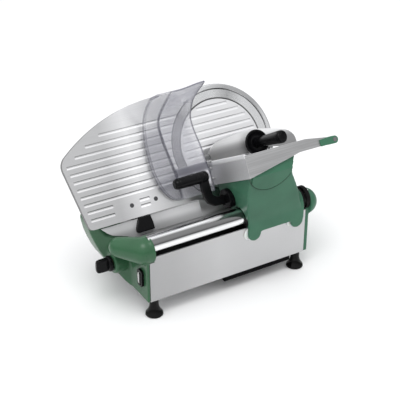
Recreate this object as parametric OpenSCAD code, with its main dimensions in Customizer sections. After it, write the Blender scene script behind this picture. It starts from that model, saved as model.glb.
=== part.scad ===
// Gravity deli slicer with a 300 mm blade: extruded base, round slide bar, tilted carriage,
// ribbed gauge plate moved by a scroll cam, belt-driven blade, clear hand guard and end-weight pusher.
// Frame: origin on the counter under the middle of the base, X along the carriage travel to the
// right, Y to the rear, Z up. Sizes are millimetres.
// "Plane" coordinates are X, v up the leaning cutting plane and n out of it towards the user.

/* [Base] */
// Length of the extruded base between its end castings
base_length = 492; // [460:2:540]
// Depth of the base from the front wall to the rear wall
base_depth = 300; // [290:2:340]
// Height of the front wall above the underside of the base
front_height = 137; // [132:1:142]
// Wall thickness of the base extrusion
base_wall = 4; // [3:0.5:5]
// Thickness of the left end casting's plate
left_cap = 8; // [6:0.5:12]
// Thickness of the right end casting's plate
right_cap = 12; // [10:0.5:16]
// Height of the feet
foot_height = 52; // [42:1:56]
// Radius of a foot where it meets the counter
foot_radius = 24.5; // [20:0.5:28]
// Distance of a foot's centre from the ends of the base
foot_inset = 17; // [15:1:40]

/* [Slide bar] */
// Radius of the polished slide bar
bar_radius = 24; // [20:0.5:25]
// Distance of the bar's axis behind the front wall
bar_y = 25; // [23:0.5:27]
// Height of the bar's axis above the underside of the base
bar_z = 163; // [161:0.5:168]
// Radius of the round bosses that hold the bar's ends
boss_radius = 38; // [37:0.5:40]
// Drop of the bosses' centres below the bar's axis
boss_drop = 13; // [8:0.5:14]

/* [Cutting plane] */
// Lean of the blade and gauge plate back from upright, in degrees
lean = 30; // [28:0.5:32]
// Distance of the gauge plate's lower edge behind the front wall
edge_y = 130; // [126:1:136]
// Height of the gauge plate's lower edge above the underside of the base
edge_z = 184; // [182:1:190]

/* [Blade] */
// Radius of the blade's cutting edge
blade_radius = 150; // [146:1:150]
// Distance of the blade's centre from the base's right end
blade_inset = 155; // [148:1:162]
// Depth of the cutting edge below the gauge plate's lower edge
blade_dip = 17; // [12:1:19]
// Distance of the blade cover's rim inside the cutting edge
cover_margin = 25; // [22:1:40]
// Width of the ring guard outside the cutting edge
ring_width = 16; // [14:1:18]

/* [Gauge plate] */
// Distance of the plate's left extreme beyond the base's left end
plate_overhang = 133; // [120:1:140]
// Height of the plate up the cutting plane
plate_height = 301; // [296:1:310]
// Radius of the plate's long upper edge
plate_crown = 496; // [470:2:540]
// Radius of the plate's upper left corner
plate_corner = 37; // [25:1:45]
// Thickness of the plate
plate_skin = 4; // [3:0.5:5]
// Depth of the plate's folded rim
plate_rim = 13; // [8:0.5:15]
// Distance between neighbouring grooves
groove_pitch = 21.25; // [18:0.25:22]
// Number of long grooves
groove_count = 9; // [5:1:9]
// Depth of a groove
groove_depth = 1.4; // [0.6:0.1:2]
// Travel of the gauge plate, the thickest slice
gauge_travel = 15; // [10:0.5:16]

/* [Carriage] */
// Length of the carriage's bearing on the bar
carriage_length = 181; // [170:1:188]
// Distance of the resting carriage from the base's right end
carriage_gap = 14; // [14:1:22]
// Distance of the tray's left wall beyond the bearing's left end
tray_overhang = 27; // [25:1:33]
// Length of the tray towards the user
tray_reach = 225; // [205:1:235]
// Length of the tray along the bar
tray_length = 260; // [252:1:264]
// Height of the tray's rim up the cutting plane
tray_rim = 88; // [80:1:92]
// Thickness of the tray's walls
tray_wall = 3; // [2:0.25:4]

/* [Hand guard] */
// Reach of the clear guard to the left of the tray
guard_width = 166; // [145:1:170]
// Distance of the guard's upper lip in front of the cutting plane
guard_reach = 112; // [95:1:118]
// Height up the cutting plane where the curl starts
guard_straight = 215; // [200:1:222]
// Thickness of the guard
guard_wall = 4; // [3:0.25:5]

/* [Pusher] */
// Distance of the pusher rod beyond the tray's right end
rod_gap = 19; // [18:1:26]
// Height of the pusher rod up the cutting plane
rod_v = 66; // [64:1:69]
// Radius of the pusher rod
rod_radius = 6; // [5:0.5:7]
// Travel of the pusher along its rod
pusher_travel = 110; // [60:1:112]
// Radius of the pusher's black flange
flange_radius = 37; // [32:1:38]
// Radius of the pusher's grip
grip_radius = 18; // [15:0.5:18.5]

/* [Clearances] */
// Radial running clearance of shafts, slides and pivots
running = 0.06; // [0.03:0.01:0.1]
// Free gap between parts that pass each other
pass_gap = 0.4; // [0.3:0.1:1]

/* [Hidden] */

$fn = 72;

// Side of the blocks that cut other shapes, larger than the whole part
far = 4 * base_length;

green = [0.29, 0.45, 0.37];
silver = [0.76, 0.77, 0.78];
polished = [0.84, 0.85, 0.86];
black = [0.06, 0.06, 0.065];
nylon = [0.90, 0.89, 0.86];
steel = [0.62, 0.63, 0.65];
clear = [0.82, 0.84, 0.90, 0.45];

// Point of the cutting plane as [Y, Z] above the base's front lower edge
function plane_yz(v, n) = [edge_y + v * sin(lean) - n * cos(lean), edge_z + v * cos(lean) + n * sin(lean)];
// Height up the plane of the point at distance n that lies at height z
function v_at(z, n) = (z - edge_z - n * sin(lean)) / cos(lean);
// Points of an arc from angle a0 to a1
function arc(cx, cy, r, a0, a1, k) =
    [for (i = [0:k]) let (a = a0 + (a1 - a0) * i / k) [cx + r * cos(a), cy + r * sin(a)]];

// Base profile
deck = front_height + 2;
channel_floor = front_height - 19;
channel_rear = bar_y + bar_radius + 4;
ridge_n = -7;
ridge_v = -3;
fold_n = -45;
deck_end = plane_yz(v_at(deck, ridge_n), ridge_n)[0];
rear_deck = plane_yz(ridge_v, fold_n)[1];
inner_fold_n = (rear_deck - base_wall - edge_z - (ridge_v - base_wall) * cos(lean)) / sin(lean);
floor_thickness = 3;
apron_thickness = 1.5;
foot_y = 15;
foot_neck = 12.5;
foot_rim = 7;
foot_waist = foot_height * 0.69;
foot_spread = foot_radius - 1 - foot_neck;
foot_flare = (pow(foot_spread, 2) + pow(foot_waist - foot_rim, 2)) / (2 * foot_spread);
pan_depth = 18;

// Switch
pivot_depth = 5;
pivot_reach = 9.5;
pivot_radius = 1.6;

// Slide bar
socket = 8;
boss_bulge = 37;
left_boss_face = 14;
shoulder_radius = 27;
right_boss_face = base_length + right_cap - 2;
bar_start = left_boss_face - socket;
bar_end = right_boss_face + socket;

// Blade drive, along n behind the cutting plane
blade_x = base_length - blade_inset;
blade_v = blade_radius - blade_dip;
cover_radius = blade_radius - cover_margin;
ring_radius = blade_radius + ring_width;
support_side = 52;
deflector_reach = blade_radius - support_side - 13.5;
blade_back = -12;
blade_bore = 28;
hub_back = -46;
support_front = -48;
support_back = -58;
axle_radius = 12.5;
axle_front = -14;
axle_flange_back = -68;
tie_radius = 5;
bearing_radius = 23.5;
bearing_width = 12;
pulley_radius = 46;
motor_pulley_radius = 23;
belt_front = -20;
belt_back = -36;
belt_thickness = 3;
motor_v = -57;
motor_front = -62;
motor_back = -160;
motor_radius = 44;
motor_shaft_radius = 7;
bracket_front = -56;

// Gauge plate outline
plate_arc_x = blade_x - 157;
plate_arc_v = plate_height - plate_crown;
corner_x = plate_corner - plate_overhang;
corner_v = plate_arc_v + sqrt(pow(plate_crown - plate_corner, 2) - pow(corner_x - plate_arc_x, 2));
corner_angle = 180 - atan2(corner_v - plate_arc_v, plate_arc_x - corner_x);
left_angle = 189.6;
lower_corner = 14;
lower_x = corner_x + 5;
plate_clear = 4;
crown_end = 83.3;

// Gauge drive
arm_x = 59;
arm_foot = [24, 74];
arm_slot = [20, 83];
arm_front = 6;
slide_front = -8;
slide_back = -62;
slide_left = 53;
slide_right = 79;
slide_top_v = -62;
slide_low_v = -130;
guide_radius = 6;
guide_x = 66;
guide_v = [-75, -118];
cam_v = -100;
cam_n = -52;
cam_radius = 45;
cam_left = 34;
cam_right = 46;
cam_start = 36;
cam_sweep = 330;
pin_radius = 3.8;
pin_end = cam_right - 6;
shaft_radius = 8;
cam_y = plane_yz(cam_v, cam_n)[0];
cam_z = plane_yz(cam_v, cam_n)[1];
knob_face = -52;
knob_seat = 11;
knob_boss = 31;
bush_radius = 12;

// Carriage
carriage_right = base_length - carriage_gap;
carriage_left = carriage_right - carriage_length;
tray_left = carriage_left - tray_overhang;
tray_right = tray_left + tray_length;
barrel = bar_radius + 12;
bush_outer = bar_radius + 4;
bush_length = 34;
wiper = 4;
apron_front = bar_y - barrel - 2;
pad_back = -pass_gap;
apron_back = -3;
apron_low = 121;
lobe_low = 97;
tray_low = 27;
tray_high = 58;
tray_bend = tray_left + 165;
tray_back = 10;
skin = 7;

// Hand guard
guard_left = tray_left - guard_width;
guard_n = 6;
guard_step_x = guard_left + 62;
guard_step = 10;
guard_low = 12;
guard_top = guard_straight + 83;
guard_foot = [guard_n, guard_straight];
guard_knee = [guard_n + 2, guard_straight + 43];
guard_lip = [guard_reach, guard_top];
guard_corner = [62, 118];
guard_screw_v = [46, 74];
guard_screw_n = 32;

// Carriage handle
handle_x = tray_left - 32;
handle_v = 58;
handle_n = 52;

// Pusher
rod_x = tray_right + rod_gap;
rod_start = tray_back + 1;
rod_end = tray_reach + 5;
sleeve_wall = 3;
sleeve_start = tray_back + 8;
sleeve_length = 40;
hub_radius = rod_radius + sleeve_wall + 5;
arm_n = sleeve_start + 2 + pass_gap;
arm_thick = 5;
arm_low = 88;
arm_left = tray_left + tray_wall + 4;
grip_x = tray_left + 151;
grip_v = 108.5;
grip_n = arm_n + arm_thick + 5;
grip_tilt = 8;
grip_length = 119;
flange_depth = 12;
flange_boss = 16;
// upper edge of the pusher's plate as [distance from its left end, v]
arm_edge = [[0, 112], [4, 119], [10, 126], [18, 133], [29, 138], [58, 142], [100, 146], [134, 148], [165, 146],
    [198, 139.5], [230, 132], [252, 125], [264, 119], [273, 111], [279, 103], [282, 94], [283, 80]];

// Puts base coordinates, measured from the base's front left lower corner, into the part's frame
module placed() {
    translate([-base_length / 2, -base_depth / 2, foot_height]) children();
}

// Puts plane coordinates into the part's frame
module plane() {
    placed() translate([0, edge_y, edge_z]) rotate([90 - lean, 0, 0]) children();
}

// Extrudes a [Y, Z] or [v, n] outline along X
module along_x(x0, x1) {
    translate([x0, 0, 0]) rotate([90, 0, 90]) linear_extrude(x1 - x0) children();
}

// Extrudes an [X, Z] or [X, n] outline along the second axis
module along_y(y0, y1) {
    translate([0, y1, 0]) rotate([90, 0, 0]) linear_extrude(y1 - y0) children();
}

// Extrudes an [X, v] outline along n
module along_n(n0, n1) {
    translate([0, 0, n0]) linear_extrude(n1 - n0) children();
}

// Cylinder along X
module round_x(x0, x1, r) {
    translate([x0, 0, 0]) rotate([0, 90, 0]) cylinder(h = x1 - x0, r = r);
}

// Box between two opposite corners
module span(a, b) {
    translate(a) cube(b - a);
}

// Solid of the base's outer profile without the channel under the bar
module end_outline() {
    polygon(concat([[0, 0], [0, front_height], [8, deck + 10], [channel_rear - 4, deck + 10],
        [channel_rear + 6, deck], [deck_end, deck]],
        [plane_yz(ridge_v, ridge_n), plane_yz(ridge_v, fold_n), [base_depth, rear_deck], [base_depth, 0]]));
}

// Extruded base: front wall, bar channel, deck, ridge under the gauge plate and rear deck
module base_shell() {
    inner_deck_end = plane_yz(v_at(deck - base_wall, ridge_n - base_wall), ridge_n - base_wall)[0];
    color(silver) difference() {
        placed() along_x(0, base_length) polygon([[0, 0], [0, front_height], [base_wall, front_height],
            [base_wall, channel_floor], [channel_rear, channel_floor], [channel_rear, deck],
            [deck_end, deck], plane_yz(ridge_v, ridge_n), plane_yz(ridge_v, fold_n),
            [base_depth, rear_deck], [base_depth, 0]]);
        placed() along_x(-1, base_length + 1) polygon([[base_wall, -1], [base_wall, channel_floor - base_wall],
            [channel_rear + base_wall, channel_floor - base_wall], [channel_rear + base_wall, deck - base_wall],
            [inner_deck_end, deck - base_wall], plane_yz(ridge_v - base_wall, ridge_n - base_wall),
            plane_yz(ridge_v - base_wall, inner_fold_n), [base_depth - base_wall, rear_deck - base_wall],
            [base_depth - base_wall, -1]]);
        // slot for the gauge plate's arm
        plane() span([arm_slot[0], v_at(deck, ridge_n) - 6, slide_back - gauge_travel + 14],
            [arm_slot[1], 2, arm_front + 4]);
        boss_space(0.02);
        // opening for the lower part of the blade, its ring and the belt
        plane() translate([blade_x, blade_v, support_front - 2]) cylinder(h = 70, r = ring_radius + 3);
        plane() span([blade_x - 62, v_at(rear_deck, fold_n) - 30, bracket_front + 18],
            [blade_x + 62, 4, ridge_n - base_wall - 1]);
        placed() translate([40, base_depth + 1, 60]) rotate([90, 0, 0]) cylinder(h = base_wall + 2, r = 8);
    }
}

// Steel floor that closes the base and carries the feet
module base_floor() {
    color(steel) placed() difference() {
        span([0, base_wall, 0], [base_length, base_depth - base_wall, floor_thickness]);
        for (x = [foot_inset, base_length - foot_inset], y = [foot_y, base_depth - foot_y])
            translate([x, y, -1]) cylinder(h = floor_thickness + 2, r = 4.2);
    }
}

// Bright sheet on the ridge below the gauge plate, reaching out over the left casting
module apron_sheet() {
    low = v_at(deck, ridge_n) + 0.5;
    color(polished) plane() difference() {
        along_n(ridge_n + 0.02, ridge_n + apron_thickness) polygon([[-72, ridge_v], [-58, ridge_v - 15],
            [-44, ridge_v - 25], [-20, low + 12], [0, low + 5], [0.5, low], [blade_x - 112, low],
            [blade_x - 112, ridge_v]]);
        span([arm_slot[0], low + 6, -100], [arm_slot[1], 2, 100]);
        translate([blade_x, blade_v, fold_n]) cylinder(h = 60, r = ring_radius + 3);
    }
}

// Shallow black pan under the motor's half of the floor
module bottom_pan() {
    color(black) placed() along_x(blade_x - 106, base_length - foot_inset - foot_radius - 2.5)
        polygon([[3, 0], [3, -pan_depth + 2], [5, -pan_depth], [base_depth - 60, -pan_depth],
            [base_depth - 54, -pan_depth + 6], [base_depth - 54, 0]]);
}

// Black strip on the floor of the bar's channel
module channel_strip() {
    color(black) difference() {
        placed() span([0, base_wall, channel_floor], [base_length, channel_rear, channel_floor + 3]);
        boss_space(0.02);
    }
}

// Four flared rubber feet
module feet() {
    color(black) placed()
        for (x = [foot_inset, base_length - foot_inset], y = [foot_y, base_depth - foot_y])
            translate([x, y, -foot_height]) difference() {
                rotate_extrude() polygon(concat([[0, 0], [foot_radius - 2, 0], [foot_radius, 2.5]],
                    arc(foot_neck + foot_flare, foot_waist, foot_flare,
                        180 + asin((foot_waist - foot_rim) / foot_flare), 180, 10),
                    [[foot_neck, foot_height], [0, foot_height]]));
                translate([0, 0, foot_height - 16]) cylinder(h = 20, r = 4);
            }
}

// Bolts that hold the feet to the floor
module foot_bolts() {
    color(steel) placed()
        for (x = [foot_inset, base_length - foot_inset], y = [foot_y, base_depth - foot_y])
            translate([x, y, 0]) {
                translate([0, 0, -16]) cylinder(h = 16 + floor_thickness, r = 4);
                translate([0, 0, floor_thickness]) cylinder(h = 5, r = 6.5, $fn = 6);
            }
}

// Round boss around one end of the bar; its cap bulges towards -X
module bar_boss(face) {
    placed() translate([face, bar_y, bar_z - boss_drop]) rotate([0, -90, 0]) rotate_extrude()
        polygon(concat([[0, 0]], [for (a = [0:8:80]) [boss_radius * cos(a), boss_bulge * sin(a)]],
            [[0, boss_bulge]]));
}

// Space that the left bar boss takes out of the shell
module boss_space(gap) {
    placed() translate([0, bar_y, bar_z - boss_drop]) round_x(-1, left_boss_face + gap, boss_radius + gap);
}

// Left end casting: plate, bar boss, shoulder, knob boss and the wing under the gauge plate
module left_end() {
    color(green) difference() {
        union() {
            placed() along_x(-left_cap, 0) end_outline();
            bar_boss(left_boss_face);
            // thick rounded shoulder from the bar boss back to the knob boss and the wing
            placed() intersection() {
                hull() {
                    translate([-5, bar_y, bar_z - boss_drop]) sphere(r = boss_radius - 2, $fn = 48);
                    translate([-48, 80, 145]) sphere(r = shoulder_radius, $fn = 48);
                }
                span([-100, -60, 60], [0, base_depth, 400]);
            }
            intersection() {
                placed() linear_extrude(240) polygon([[0, 92], [-left_cap, 92], [-16, 104],
                    [-27, 120], [-41, 138], [-58, 156], [-76, 172], [-92, 187], [-102, 202], [-104, 214],
                    [-98, 226], [-80, 234], [0, 240]]);
                placed() along_y(60, 260) polygon([[0, 0], [-10, 0], [-18, 10], [-28, 25], [-39, 41], [-50, 58],
                    [-61, 80], [-71, 105], [-80, 132], [-87, 160], [-89, 176], [-83, 187], [-70, 192], [0, 192]]);
                placed() along_x(-140, 0) polygon([[60, 0], [240, 0], [240, 200], plane_yz(v_at(200, -40), -40),
                    plane_yz(v_at(deck + 4, -40), -40), [60, deck + 4]]);
            }
            // boss of the index knob
            placed() translate([0, cam_y, cam_z]) round_x(knob_face + 1, 0, knob_boss);
        }
        placed() translate([0, cam_y, cam_z]) {
            round_x(knob_face - 60, 1, bush_radius);
            round_x(knob_face - 60, knob_face + 1, 24);
        }
        placed() translate([left_boss_face, bar_y, bar_z]) round_x(-socket, 1, bar_radius + 0.03);
    }
}

// Right end casting: plate and bar boss
module right_end() {
    color(green) difference() {
        union() {
            placed() along_x(base_length, base_length + right_cap) end_outline();
            placed() translate([base_length, 0, 0]) mirror([1, 0, 0]) translate([base_length / 2, base_depth / 2,
                -foot_height]) bar_boss(base_length - right_boss_face);
        }
        placed() translate([right_boss_face, bar_y, bar_z]) round_x(-40, socket, bar_radius + 0.03);
    }
}

// Polished round bar that the carriage rides on
module slide_bar() {
    color(polished) placed() translate([0, bar_y, bar_z]) round_x(bar_start, bar_end, bar_radius);
}

// Rubber ring on the bar that stops the carriage at the right end
module bar_buffer() {
    color(black) placed() difference() {
        translate([0, bar_y, bar_z]) round_x(base_length - 1.4, right_boss_face - 0.02, bar_radius + 9);
        translate([0, bar_y, bar_z]) round_x(0, far, bar_radius + running);
        along_x(base_length - 0.02, far) end_outline();
    }
}

// Gland for the power cord in the rear wall
module cord_gland() {
    color(black) placed() translate([40, base_depth, 60]) rotate([90, 0, 0]) difference() {
        union() {
            translate([0, 0, -8]) cylinder(h = 8, r = 12);
            cylinder(h = base_wall + 6, r = 7.9);
        }
        translate([0, 0, -9]) cylinder(h = base_wall + 20, r = 4);
    }
}

// Black frame of the on and off switch on the left end
module switch_bezel() {
    color(black) placed() translate([-left_cap, 33, 64]) difference() {
        along_x(-7, 0) polygon(concat(arc(5, 17, 8, 0, 90, 5), arc(-5, 17, 8, 90, 180, 5),
            arc(-5, -17, 8, 180, 270, 5), arc(5, -17, 8, 270, 360, 5)));
        span([-8, -8, -19], [-2, 8, 19]);
        rocker_pivot(pivot_reach + 0.3, pivot_radius + running);
    }
}

// Pivot across the switch's rocker
module rocker_pivot(reach, r) {
    translate([-pivot_depth, -reach, 0]) rotate([-90, 0, 0]) cylinder(h = 2 * reach, r = r);
}

// Rocker of the switch, tilting about its middle
module switch_rocker() {
    color(nylon) placed() translate([-left_cap, 33, 64]) {
        along_y(-7, 7) polygon([[-5.4, 0], [-9.5, 12], [-8.5, 16], [-5.6, 17], [-4.4, 16.6], [-2.4, 0],
            [-4.4, -16.6], [-5.6, -17], [-8.5, -16], [-9.5, -12]]);
        rocker_pivot(pivot_reach, pivot_radius);
    }
}

// Dished round knife with a bevelled rim
module blade() {
    color(polished) plane() translate([blade_x, blade_v, 0]) difference() {
        rotate_extrude($fn = 180) polygon([[blade_bore, blade_back], [cover_radius - 12, blade_back],
            [blade_radius - 12, -8], [blade_radius, -0.8], [blade_radius, -0.2], [cover_radius + 2.5, -3],
            [cover_radius - 2, -8], [blade_bore, -8]]);
        for (k = [0:2]) rotate([0, 0, 120 * k + 30]) translate([40, 0, -30]) cylinder(h = 40, r = 3.1);
    }
}

// Hub with the large pulley behind the blade
module blade_hub() {
    color(steel) plane() translate([blade_x, blade_v, 0]) difference() {
        rotate_extrude() polygon([[bearing_radius + 0.02, hub_back], [pulley_radius + 6, hub_back],
            [pulley_radius + 6, belt_back - 1.5], [pulley_radius, belt_back - 1.5], [pulley_radius, belt_front + 1.5],
            [pulley_radius + 6, belt_front + 1.5], [pulley_radius + 6, blade_back], [blade_bore - 0.1, blade_back],
            [blade_bore - 0.1, -8.5], [bearing_radius + 0.02, -8.5]]);
        for (k = [0:2]) rotate([0, 0, 120 * k + 30]) translate([40, 0, -26]) cylinder(h = 30, r = 3.1);
    }
}

// Two ball bearings between the hub and its axle
module blade_bearings() {
    color(steel) plane() translate([blade_x, blade_v, 0])
        for (n = [hub_back + 1, axle_front - bearing_width - 1]) translate([0, 0, n]) difference() {
            cylinder(h = bearing_width, r = bearing_radius);
            translate([0, 0, -1]) cylinder(h = bearing_width + 2, r = axle_radius + running);
        }
}

// Screws that hold the blade to its hub
module blade_screws() {
    color(steel) plane() translate([blade_x, blade_v, 0])
        for (k = [0:2]) rotate([0, 0, 120 * k + 30]) translate([40, 0, -26]) cylinder(h = 17.6, r = 3);
}

// Fixed hollow axle of the blade
module blade_axle() {
    color(steel) plane() translate([blade_x, blade_v, 0]) difference() {
        union() {
            translate([0, 0, support_back]) cylinder(h = axle_front - support_back, r = axle_radius);
            translate([0, 0, axle_flange_back]) cylinder(h = support_back - axle_flange_back, r = 30);
        }
        translate([0, 0, axle_flange_back - 1]) cylinder(h = 80, r = tie_radius + 0.3);
    }
}

// Casting behind the blade that stands on the rear deck
module blade_support() {
    color(silver) difference() {
        intersection() {
            union() {
                plane() translate([blade_x, blade_v, support_back]) difference() {
                    cylinder(h = support_front - support_back, r = ring_radius, $fn = 144);
                    span([-far, -far, -1], [-support_side, far, far]);
                }
                plane() translate([blade_x, blade_v, support_back])
                    cylinder(h = support_front - support_back, r = support_side - 1);
                plane() span([blade_x - support_side, v_at(rear_deck, support_back) - 20, support_back],
                    [blade_x + 110, blade_v, support_front]);
                placed() span([blade_x - 70, plane_yz(0, support_front)[0] - 2, rear_deck],
                    [blade_x + 118, plane_yz(0, support_front)[0] + 62, rear_deck + 12]);
            }
            placed() span([0, plane_yz(ridge_v, fold_n)[0] + 1, rear_deck], [far, far, far]);
        }
        plane() span([0, -far, support_front - 0.02], [far, far, far]);
        plane() translate([blade_x, blade_v, support_back - 1]) {
            cylinder(h = 60, r = axle_radius + 0.03);
            ring_screw_places() cylinder(h = 60, r = 3.03);
        }
    }
}

// Polished guard round the part of the blade's edge that isn't used
module ring_guard() {
    color(polished) plane() translate([blade_x, blade_v, 0]) difference() {
        rotate([0, 0, -62]) rotate_extrude(angle = 178, $fn = 144) polygon([[blade_radius + 1.5, -4],
            [blade_radius + 1.5, 0.5], [blade_radius + 3.5, 2], [ring_radius - 4, 2], [ring_radius - 1, 0.5],
            [ring_radius, -3], [ring_radius, support_front], [ring_radius - 20, support_front],
            [ring_radius - 20, support_front + 5], [ring_radius - 4, support_front + 5], [ring_radius - 4, -4]]);
        ring_screw_places() translate([0, 0, support_back - 1]) cylinder(h = 20, r = 3.03);
    }
}

// Places of the ring guard's screws around the blade's centre
module ring_screw_places() {
    for (a = [-40, 20, 80]) rotate([0, 0, a]) translate([ring_radius - 12, 0, 0]) children();
}

// Screws of the ring guard, through its support
module ring_screws() {
    color(steel) plane() translate([blade_x, blade_v, 0]) ring_screw_places() {
        translate([0, 0, support_back]) cylinder(h = support_front + 5 - support_back, r = 3);
        translate([0, 0, support_back - 4]) cylinder(h = 4, r = 5.5);
    }
}

// Fixed ribbed disc in the hollow of the blade
module blade_cover() {
    first = blade_v - floor((cover_radius - 14) / groove_pitch) * groove_pitch;
    count = 2 * floor((cover_radius - 14) / groove_pitch);
    color(polished) plane() difference() {
        translate([blade_x, blade_v, 0]) rotate_extrude($fn = 144) polygon([[0, axle_front], [10, axle_front],
            [10, -5.5], [cover_radius - 1.5, -5.5], [cover_radius, -4.5], [cover_radius - 1, -2.6], [0, -2.6]]);
        translate([blade_x, blade_v, axle_front - 1]) cylinder(h = 6, r = tie_radius + 0.03);
        for (k = [0:count]) {
            v = first + k * groove_pitch;
            half = sqrt(pow(cover_radius - 8, 2) - pow(v - blade_v, 2));
            along_x(blade_x - half, blade_x + half)
                polygon([[v - 5, -2.5], [v - 0.5, -3.6], [v + 2, -3.6], [v + 4.5, -2.5]]);
        }
    }
}

// Tie rod that draws the blade cover against the axle
module cover_rod() {
    color(steel) plane() translate([blade_x, blade_v, axle_flange_back - 14])
        cylinder(h = axle_front + 5 - axle_flange_back + 14, r = tie_radius);
}

// Hand knob on the tie rod behind the blade
module cover_knob() {
    color(black) plane() translate([blade_x, blade_v, axle_flange_back]) difference() {
        rotate_extrude() polygon([[0, -30], [14, -30], [19, -26], [20, -10], [15, -6], [12, 0], [0, 0]]);
        translate([0, 0, -14]) cylinder(h = 20, r = tie_radius + 0.03);
    }
}

// Sheet that lifts the slices off the back of the blade
module slice_deflector() {
    x1 = blade_x - support_side;
    r = deflector_reach;
    color(polished) plane() along_y(blade_v - 70, blade_v + 70) polygon([[x1 + 20, support_back],
        [x1 + 20, support_back - 2.5], [x1 - 0.05 * r, support_back - 2.5], [x1 - 0.24 * r, support_back + 3],
        [x1 - 0.5 * r, support_back + 14], [x1 - 0.78 * r, support_back + 30], [x1 - 0.99 * r, support_back + 40],
        [x1 - r, support_back + 42], [x1 - 0.765 * r, support_back + 32.2], [x1 - 0.485 * r, support_back + 16.4],
        [x1 - 0.225 * r, support_back + 5.5], [x1 - 0.041 * r, support_back]]);
}

// Motor inside the base
module motor() {
    color(steel) plane() translate([blade_x, motor_v, 0]) difference() {
        union() {
            translate([0, 0, motor_back]) cylinder(h = motor_front - 8 - motor_back, r = motor_radius);
            translate([0, 0, motor_front - 8]) cylinder(h = 8, r = motor_radius + 4);
            for (k = [0:7]) rotate([0, 0, 45 * k]) span([motor_radius - 2, -1.5, motor_back + 14],
                [motor_radius + 3, 1.5, motor_front - 8]);
        }
        translate([0, 0, motor_front - 20]) cylinder(h = 40, r = motor_shaft_radius + running);
    }
}

// Plate that hangs the motor under the rear deck
module motor_bracket() {
    color(steel) difference() {
        plane() span([blade_x - 56, motor_v - 52, motor_front], [blade_x + 56, 40, bracket_front]);
        placed() span([0, 0, rear_deck - base_wall], [far, far, far]);
        plane() translate([blade_x, motor_v, motor_front - 1]) cylinder(h = 20, r = 15);
    }
}

// Motor shaft with the small pulley
module motor_pulley() {
    color(steel) plane() translate([blade_x, motor_v, 0]) {
        translate([0, 0, motor_front - 18]) cylinder(h = belt_back - 2 - motor_front + 18, r = motor_shaft_radius);
        rotate_extrude() polygon([[0, belt_back - 3], [motor_pulley_radius + 4, belt_back - 3],
            [motor_pulley_radius + 4, belt_back - 1.5], [motor_pulley_radius, belt_back - 1.5],
            [motor_pulley_radius, belt_front + 1.5], [motor_pulley_radius + 4, belt_front + 1.5],
            [motor_pulley_radius + 4, belt_front + 3], [0, belt_front + 3]]);
    }
}

// Loop round both pulleys at distance d from them
function belt_loop(d) =
    let (tilt = asin((pulley_radius - motor_pulley_radius) / (blade_v - motor_v)))
    concat(arc(blade_x, blade_v, pulley_radius + d, -tilt, 180 + tilt, 36),
        arc(blade_x, motor_v, motor_pulley_radius + d, 180 + tilt, 360 - tilt, 24));

// Flat belt between the two pulleys
module drive_belt() {
    color(black) plane() along_n(belt_back, belt_front) difference() {
        polygon(belt_loop(pass_gap + belt_thickness));
        polygon(belt_loop(pass_gap));
    }
}

// Outline of the gauge plate, moved inwards by d
function plate_outline(d) =
    let (r = blade_radius + plate_clear + d)
    concat(arc(lower_x, lower_corner, lower_corner - d, 270, left_angle, 6),
        arc(corner_x, corner_v, plate_corner - d, left_angle, corner_angle, 10),
        arc(plate_arc_x, plate_arc_v, plate_crown - d, corner_angle, crown_end, 24),
        arc(blade_x, blade_v, r, 123, 180 + asin((blade_v - d) / r), 24));
// X of the plate's left edge and of its crown at height v
function plate_left_at(v) = lower_x - lower_corner - (v - lower_corner)
    * (lower_corner - lower_x + corner_x - plate_corner) / (lower_corner - corner_v);
function crown_left_at(v) = plate_arc_x - sqrt(max(0, pow(plate_crown, 2) - pow(v - plate_arc_v, 2)));

// One groove across the gauge plate
module plate_groove(v, x0, x1) {
    along_x(x0, x1)
        polygon([[v - 5, 0.2], [v - 0.5, -groove_depth], [v + 2, -groove_depth], [v + 4.5, 0.2]]);
}

// Ribbed gauge plate with a folded rim
module gauge_plate() {
    first_v = 66;
    color(silver) plane() difference() {
        union() {
            along_n(-plate_skin, 0) polygon(plate_outline(0));
            along_n(-plate_rim, -plate_skin + 0.01) difference() {
                polygon(plate_outline(0.01));
                polygon(plate_outline(3.5));
            }
        }
        for (k = [0:groove_count - 1]) {
            v = first_v + k * groove_pitch;
            plate_groove(v, max(plate_left_at(v) + 12, crown_left_at(v + 26)), blade_x);
        }
        for (v = [46, 24.5]) plate_groove(v, plate_left_at(v) + 13, -24);
        for (v = [42, 26]) plate_groove(v, arm_x - 6, arm_x + 24);
        for (x = [arm_x - 31, arm_x + 41]) translate([x, 34.5, 0]) {
            translate([0, 0, -plate_skin - 1]) cylinder(h = 20, r = 3.1);
            translate([0, 0, -1.5]) cylinder(h = 3, r = 6.1);
        }
    }
}

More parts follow.
